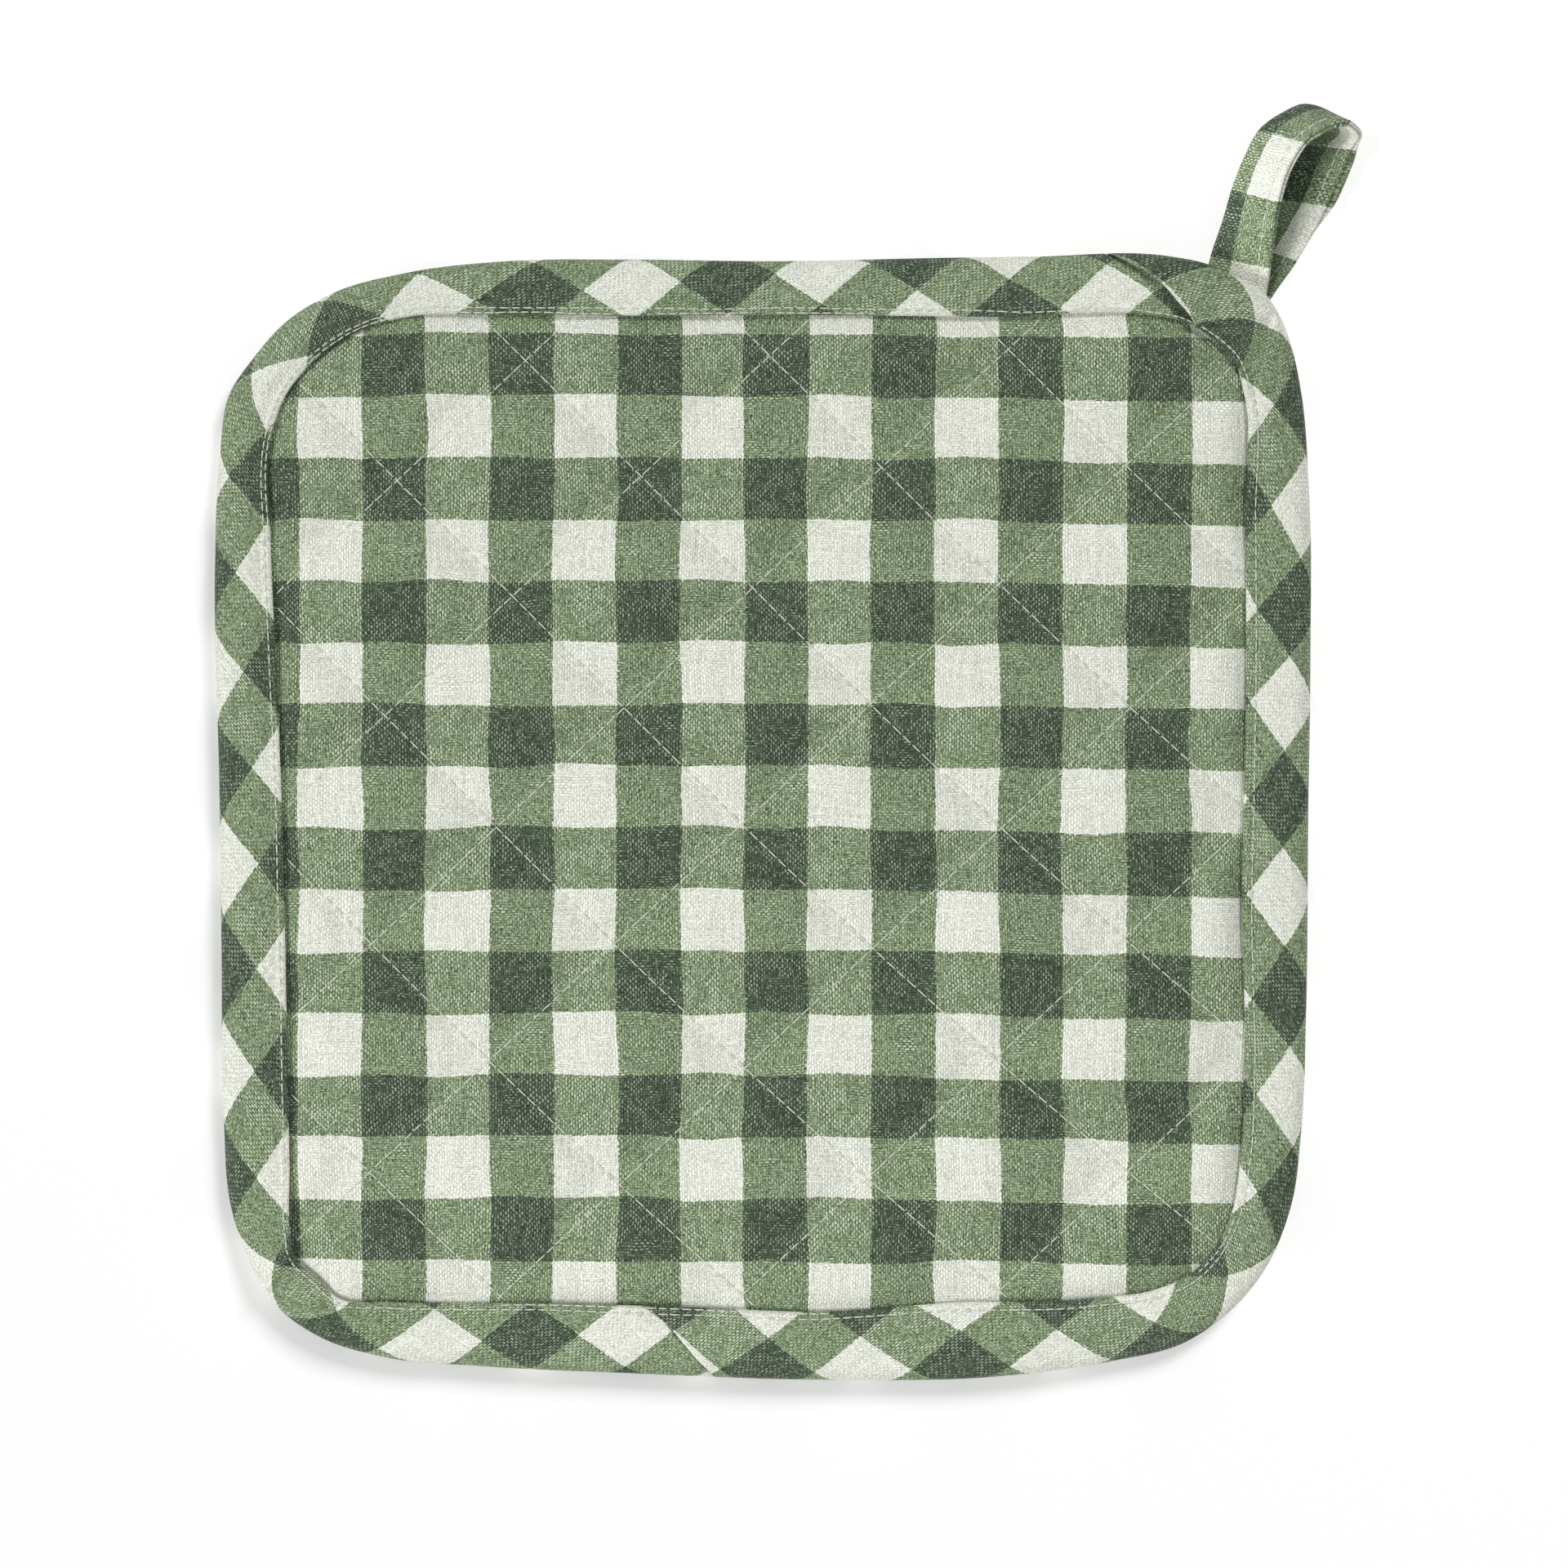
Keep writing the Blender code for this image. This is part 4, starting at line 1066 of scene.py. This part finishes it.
def cloth_material(name, cloth, weave_depth):
    """Matte cotton gingham: each check's colour, with painted shade between the threads, painted light on
    their tops and painted highlights on the highest floats, with the weave as bump. Reads the piece's own
    Cloth coordinates, which count stripes."""
    matte = {"Roughness": 0.88, "Specular IOR Level": 0.25, "Sheen Weight": 0.08, "Sheen Roughness": 0.5}
    material, tree, shader = new_material(name, matte)
    step = partial(maths, tree)
    own = add_node(tree, "ShaderNodeUVMap", (-1500, 0), uv_map=CLOTH_UV).outputs[0]
    inputs = {"Stripes": own, "Threads": cloth.threads}
    inputs |= {"Cream": cloth.cream, "Mid": cloth.mid_green, "Dark": cloth.dark_green}
    check = group_node(tree, "Gingham", (-1100, 200), inputs).outputs
    counted = vector_maths(tree, "SCALE", {0: own, "Scale": cloth.threads}, (-1300, -200))
    weave = group_node(tree, "Plain weave", (-1100, -200), {"Threads": counted}).outputs
    # The thread on top shows a little of its own colour: a green one in a mid green check is darker.
    warp, warp_green, weft_green = weave["Warp"], check["Warp green"], check["Weft green"]
    on_top = step("MULTIPLY", warp_green, warp, place=(-900, 0))
    weft_on_top = step("MULTIPLY", weft_green, step("SUBTRACT", 1.0, warp), place=(-900, -160))
    on_top = step("ADD", on_top, weft_on_top, place=(-740, -60))
    own_thread = mixed(tree, on_top, cloth.cream, cloth.dark_green, place=(-600, 0))
    base = mixed(tree, 0.10, check["Color"], own_thread, place=(-600, 200))
    # Painted shade between the threads and painted light on their tops, stronger in green checks than in
    # cream ones: pale threads glow through one another, so that the gaps between them stay lighter.
    green = step("MAXIMUM", warp_green, weft_green, place=(-900, -320))
    depth = step("MULTIPLY_ADD", green, 0.90, 0.75, place=(-740, -320))
    fibres = noise(tree, counted, 1.1, 2.0, (-1100, -520)).outputs[0]
    ragged = step("MULTIPLY_ADD", fibres, 1.2, -1.12, place=(-900, -520))
    # The painted shade and light follow the weave's height, roughened by the fibres' noise, and multiply the
    # check's colour.
    painted_weave_shading = step("ADD", weave["Height"], ragged, place=(-740, -460))
    painted_weave_shading = step("MULTIPLY_ADD", painted_weave_shading, depth, 1.0, place=(-600, -400))
    shade = step("MULTIPLY_ADD", weave["Tone"], 0.30, painted_weave_shading, place=(-440, -300))
    shaded = vector_maths(tree, "SCALE", {0: base, "Scale": shade}, (-420, 200))
    # Painted highlights: pale flecks on the highest floats, here and there as the fibres' noise allows, mixed
    # toward a pale highlight colour.
    chance = step("MULTIPLY_ADD", fibres, 2.0, -0.40, place=(-740, -200), clamp=True)
    painted_highlights = step("MULTIPLY", weave["Painted highlights"], chance, place=(-600, -120))
    painted_highlights = step("MULTIPLY", painted_highlights, 0.36, place=(-440, -120))
    lit = mixed(tree, painted_highlights, shaded, (0.80, 0.82, 0.72, 1), place=(-240, 200))
    weave_bump = {"Strength": 0.7, "Distance": weave_depth, "Height": weave["Height"]}
    bump = add_node(tree, "ShaderNodeBump", (-240, -200), weave_bump)
    feed(tree, shader, {"Base Color": lit, "Normal": bump.outputs[0]})
    return material


def thread_material(sewing):
    """Pale cotton thread, a little shiny, with the twist of its two plies as bump."""
    material, tree, shader = new_material("Sewing thread", {"Roughness": 0.6})
    place = add_node(tree, "ShaderNodeTexCoord", (-900, 0)).outputs["Object"]
    twist = noise(tree, place, 2600.0, 1.0, (-700, 0), "3D").outputs[0]
    worn = mixed(tree, twist, sewing.colour, (0.56, 0.58, 0.50, 1), place=(-400, 100))
    bump = add_node(tree, "ShaderNodeBump", (-300, -200), {"Distance": 0.00006, "Height": twist})
    feed(tree, shader, {"Base Color": worn, "Normal": bump.outputs[0]})
    return material


def dress(piece, material, slot, *nodes):
    """Gives a piece its material and body, and hides the solids that it stands for. Its slot is not used."""
    piece.data.materials.clear()
    piece.data.materials.append(material)
    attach(piece, "root")
    if nodes:
        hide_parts(*nodes)


def ensure_groups():
    """Builds the node groups that the cloths share, once."""
    if "Gingham" not in bpy.data.node_groups:
        gingham_group()
    if "Plain weave" not in bpy.data.node_groups:
        weave_group()


class POTHOLDER_OT_pad(bpy.types.Operator):
    """Makes the quilted pad"""

    bl_idname = "pot_holder.pad"
    bl_label = "Quilted pad"

    def execute(self, context):
        ensure_groups()
        pad = make_pad(context.scene.pot_holder_quilt)
        material = cloth_material("Pad gingham", context.scene.pot_holder_cloth, 0.00016)
        dress(pad, material, "pad_cloth", "quilted_pad")
        return {"FINISHED"}


class POTHOLDER_OT_binding(bpy.types.Operator):
    """Makes the bias binding"""

    bl_idname = "pot_holder.binding"
    bl_label = "Bias binding"

    def execute(self, context):
        ensure_groups()
        binding = make_binding()
        material = cloth_material("Binding gingham", context.scene.pot_holder_cloth, 0.00014)
        dress(binding, material, "binding_cloth", "edge_binding")
        return {"FINISHED"}


class POTHOLDER_OT_loop(bpy.types.Operator):
    """Makes the hanging loop"""

    bl_idname = "pot_holder.loop"
    bl_label = "Hanging loop"

    def execute(self, context):
        ensure_groups()
        loop = make_loop()
        material = cloth_material("Loop gingham", context.scene.pot_holder_cloth, 0.00014)
        dress(loop, material, "loop_cloth", "hanging_loop")
        return {"FINISHED"}


class POTHOLDER_OT_stitches(bpy.types.Operator):
    """Sews the quilting, the binding and the loop"""

    bl_idname = "pot_holder.stitches"
    bl_label = "Stitches"

    def execute(self, context):
        sewing = context.scene.pot_holder_sewing
        thread = thread_material(sewing)
        rise = context.scene.pot_holder_quilt.rise / MM
        for piece in (make_quilting(sewing, rise), make_topstitching(sewing), make_loop_stitching(sewing)):
            dress(piece, thread, "sewing_thread")
        return {"FINISHED"}


def area_light(name, place, size, power):
    """A square soft light at a place, aimed at the origin, in metres."""
    data = bpy.data.lights.new(name, "AREA")
    data.size = size
    data.energy = power
    made = bpy.data.objects.new(name, data)
    made.location = place
    made.rotation_euler = (Vector((0, 0, 0)) - Vector(place)).to_track_quat("-Z", "Y").to_euler()
    bpy.context.scene.collection.objects.link(made)
    return made


def linked(name, pieces):
    """A collection of pieces, for a light that reaches only these."""
    made = bpy.data.collections.new(name)
    for piece in pieces:
        made.objects.link(piece)
    return made


class POTHOLDER_OT_stage(bpy.types.Operator):
    """Makes the floor, the lights and the camera"""

    bl_idname = "pot_holder.stage"
    bl_label = "Stage"

    def execute(self, context):
        scene = context.scene
        bpy.ops.mesh.primitive_plane_add(size=6.0)
        floor = context.active_object
        floor.name = "floor"
        white = {"Base Color": (0.9, 0.9, 0.9, 1), "Roughness": 0.9, "Specular IOR Level": 0.1}
        glow = {"Emission Color": (1.0, 1.0, 1.0, 1), "Emission Strength": 0.395}
        floor.data.materials.append(new_material("White paper", white | glow)[0])
        lights = {name: area_light(name, *values) for name, values in LIGHTS.items()}
        meshes = [piece for piece in scene.objects if piece.type == "MESH"]
        loop = [piece for piece in meshes if "loop" in piece.name]
        cloth = linked("cloth", [piece for piece in meshes if piece is not floor])
        loop_alone = linked("loop", loop)
        others = linked("all_but_the_loop", [piece for piece in meshes if piece not in loop])
        # The high light leaves the loop out. It stands high, and has a light that nothing else shades. The
        # shade light gives its faint shade on the floor. The low lights reach the cloth alone, so that the
        # floor stays clean to the right of it.
        reached_and_shading = {
            "high_light": (others, others),
            "loop_light": (loop_alone, loop_alone),
            "shade_light": (linked("floor_alone", [floor]), linked("loop_and_floor", [floor, *loop])),
            "side_light": (cloth, None),
            "front_light": (cloth, None),
        }
        for name, (reached, shading) in reached_and_shading.items():
            lights[name].light_linking.receiver_collection = reached
            lights[name].light_linking.blocker_collection = shading
        world = bpy.data.worlds.new("Studio")
        world.use_nodes = True
        background = world.node_tree.nodes["Background"]
        feed(world.node_tree, background, {"Color": (1.0, 1.0, 1.0, 1), "Strength": 0.26})
        scene.world = world
        data = bpy.data.cameras.new("camera")
        data.lens = LENS
        data.sensor_width = SENSOR
        data.sensor_fit = "HORIZONTAL"
        camera = bpy.data.objects.new("camera", data)
        away = (0.0, 0.0, PICTURE_WIDTH / SENSOR * LENS)
        camera.location = (np.array(PICTURE_MIDDLE) + SHIFT + away) * MM
        scene.collection.objects.link(camera)
        scene.camera = camera
        scene.view_settings.view_transform = "Standard"
        return {"FINISHED"}


class POTHOLDER_PT_panel(bpy.types.Panel):
    """Lists the pot holder's pieces and sizes"""

    bl_label = "Pot holder"
    bl_idname = "POTHOLDER_PT_panel"
    bl_space_type = "VIEW_3D"
    bl_region_type = "UI"
    bl_category = "Pot holder"

    def draw(self, context):
        layout = self.layout
        for group in ("pot_holder_cloth", "pot_holder_quilt", "pot_holder_sewing"):
            settings = getattr(context.scene, group)
            box = layout.box()
            for name in settings.bl_rna.properties.keys():
                if name not in ("rna_type", "name"):
                    box.prop(settings, name)
        for operator in OPERATORS:
            layout.operator(operator.bl_idname)


SETTINGS = {
    "pot_holder_cloth": ClothSettings,
    "pot_holder_quilt": QuiltSettings,
    "pot_holder_sewing": SewingSettings,
}
OPERATORS = (
    POTHOLDER_OT_pad,
    POTHOLDER_OT_binding,
    POTHOLDER_OT_loop,
    POTHOLDER_OT_stitches,
    POTHOLDER_OT_stage,
)


def register():
    for name, group in SETTINGS.items():
        bpy.utils.register_class(group)
        setattr(bpy.types.Scene, name, bpy.props.PointerProperty(type=group))
    for operator in OPERATORS:
        bpy.utils.register_class(operator)
    bpy.utils.register_class(POTHOLDER_PT_panel)


def unregister():
    bpy.utils.unregister_class(POTHOLDER_PT_panel)
    for operator in reversed(OPERATORS):
        bpy.utils.unregister_class(operator)
    for name, group in SETTINGS.items():
        delattr(bpy.types.Scene, name)
        bpy.utils.unregister_class(group)


def main():
    register()
    bpy.ops.pot_holder.pad()
    bpy.ops.pot_holder.binding()
    bpy.ops.pot_holder.loop()
    bpy.ops.pot_holder.stitches()
    bpy.ops.pot_holder.stage()


if __name__ == "__main__":
    main()
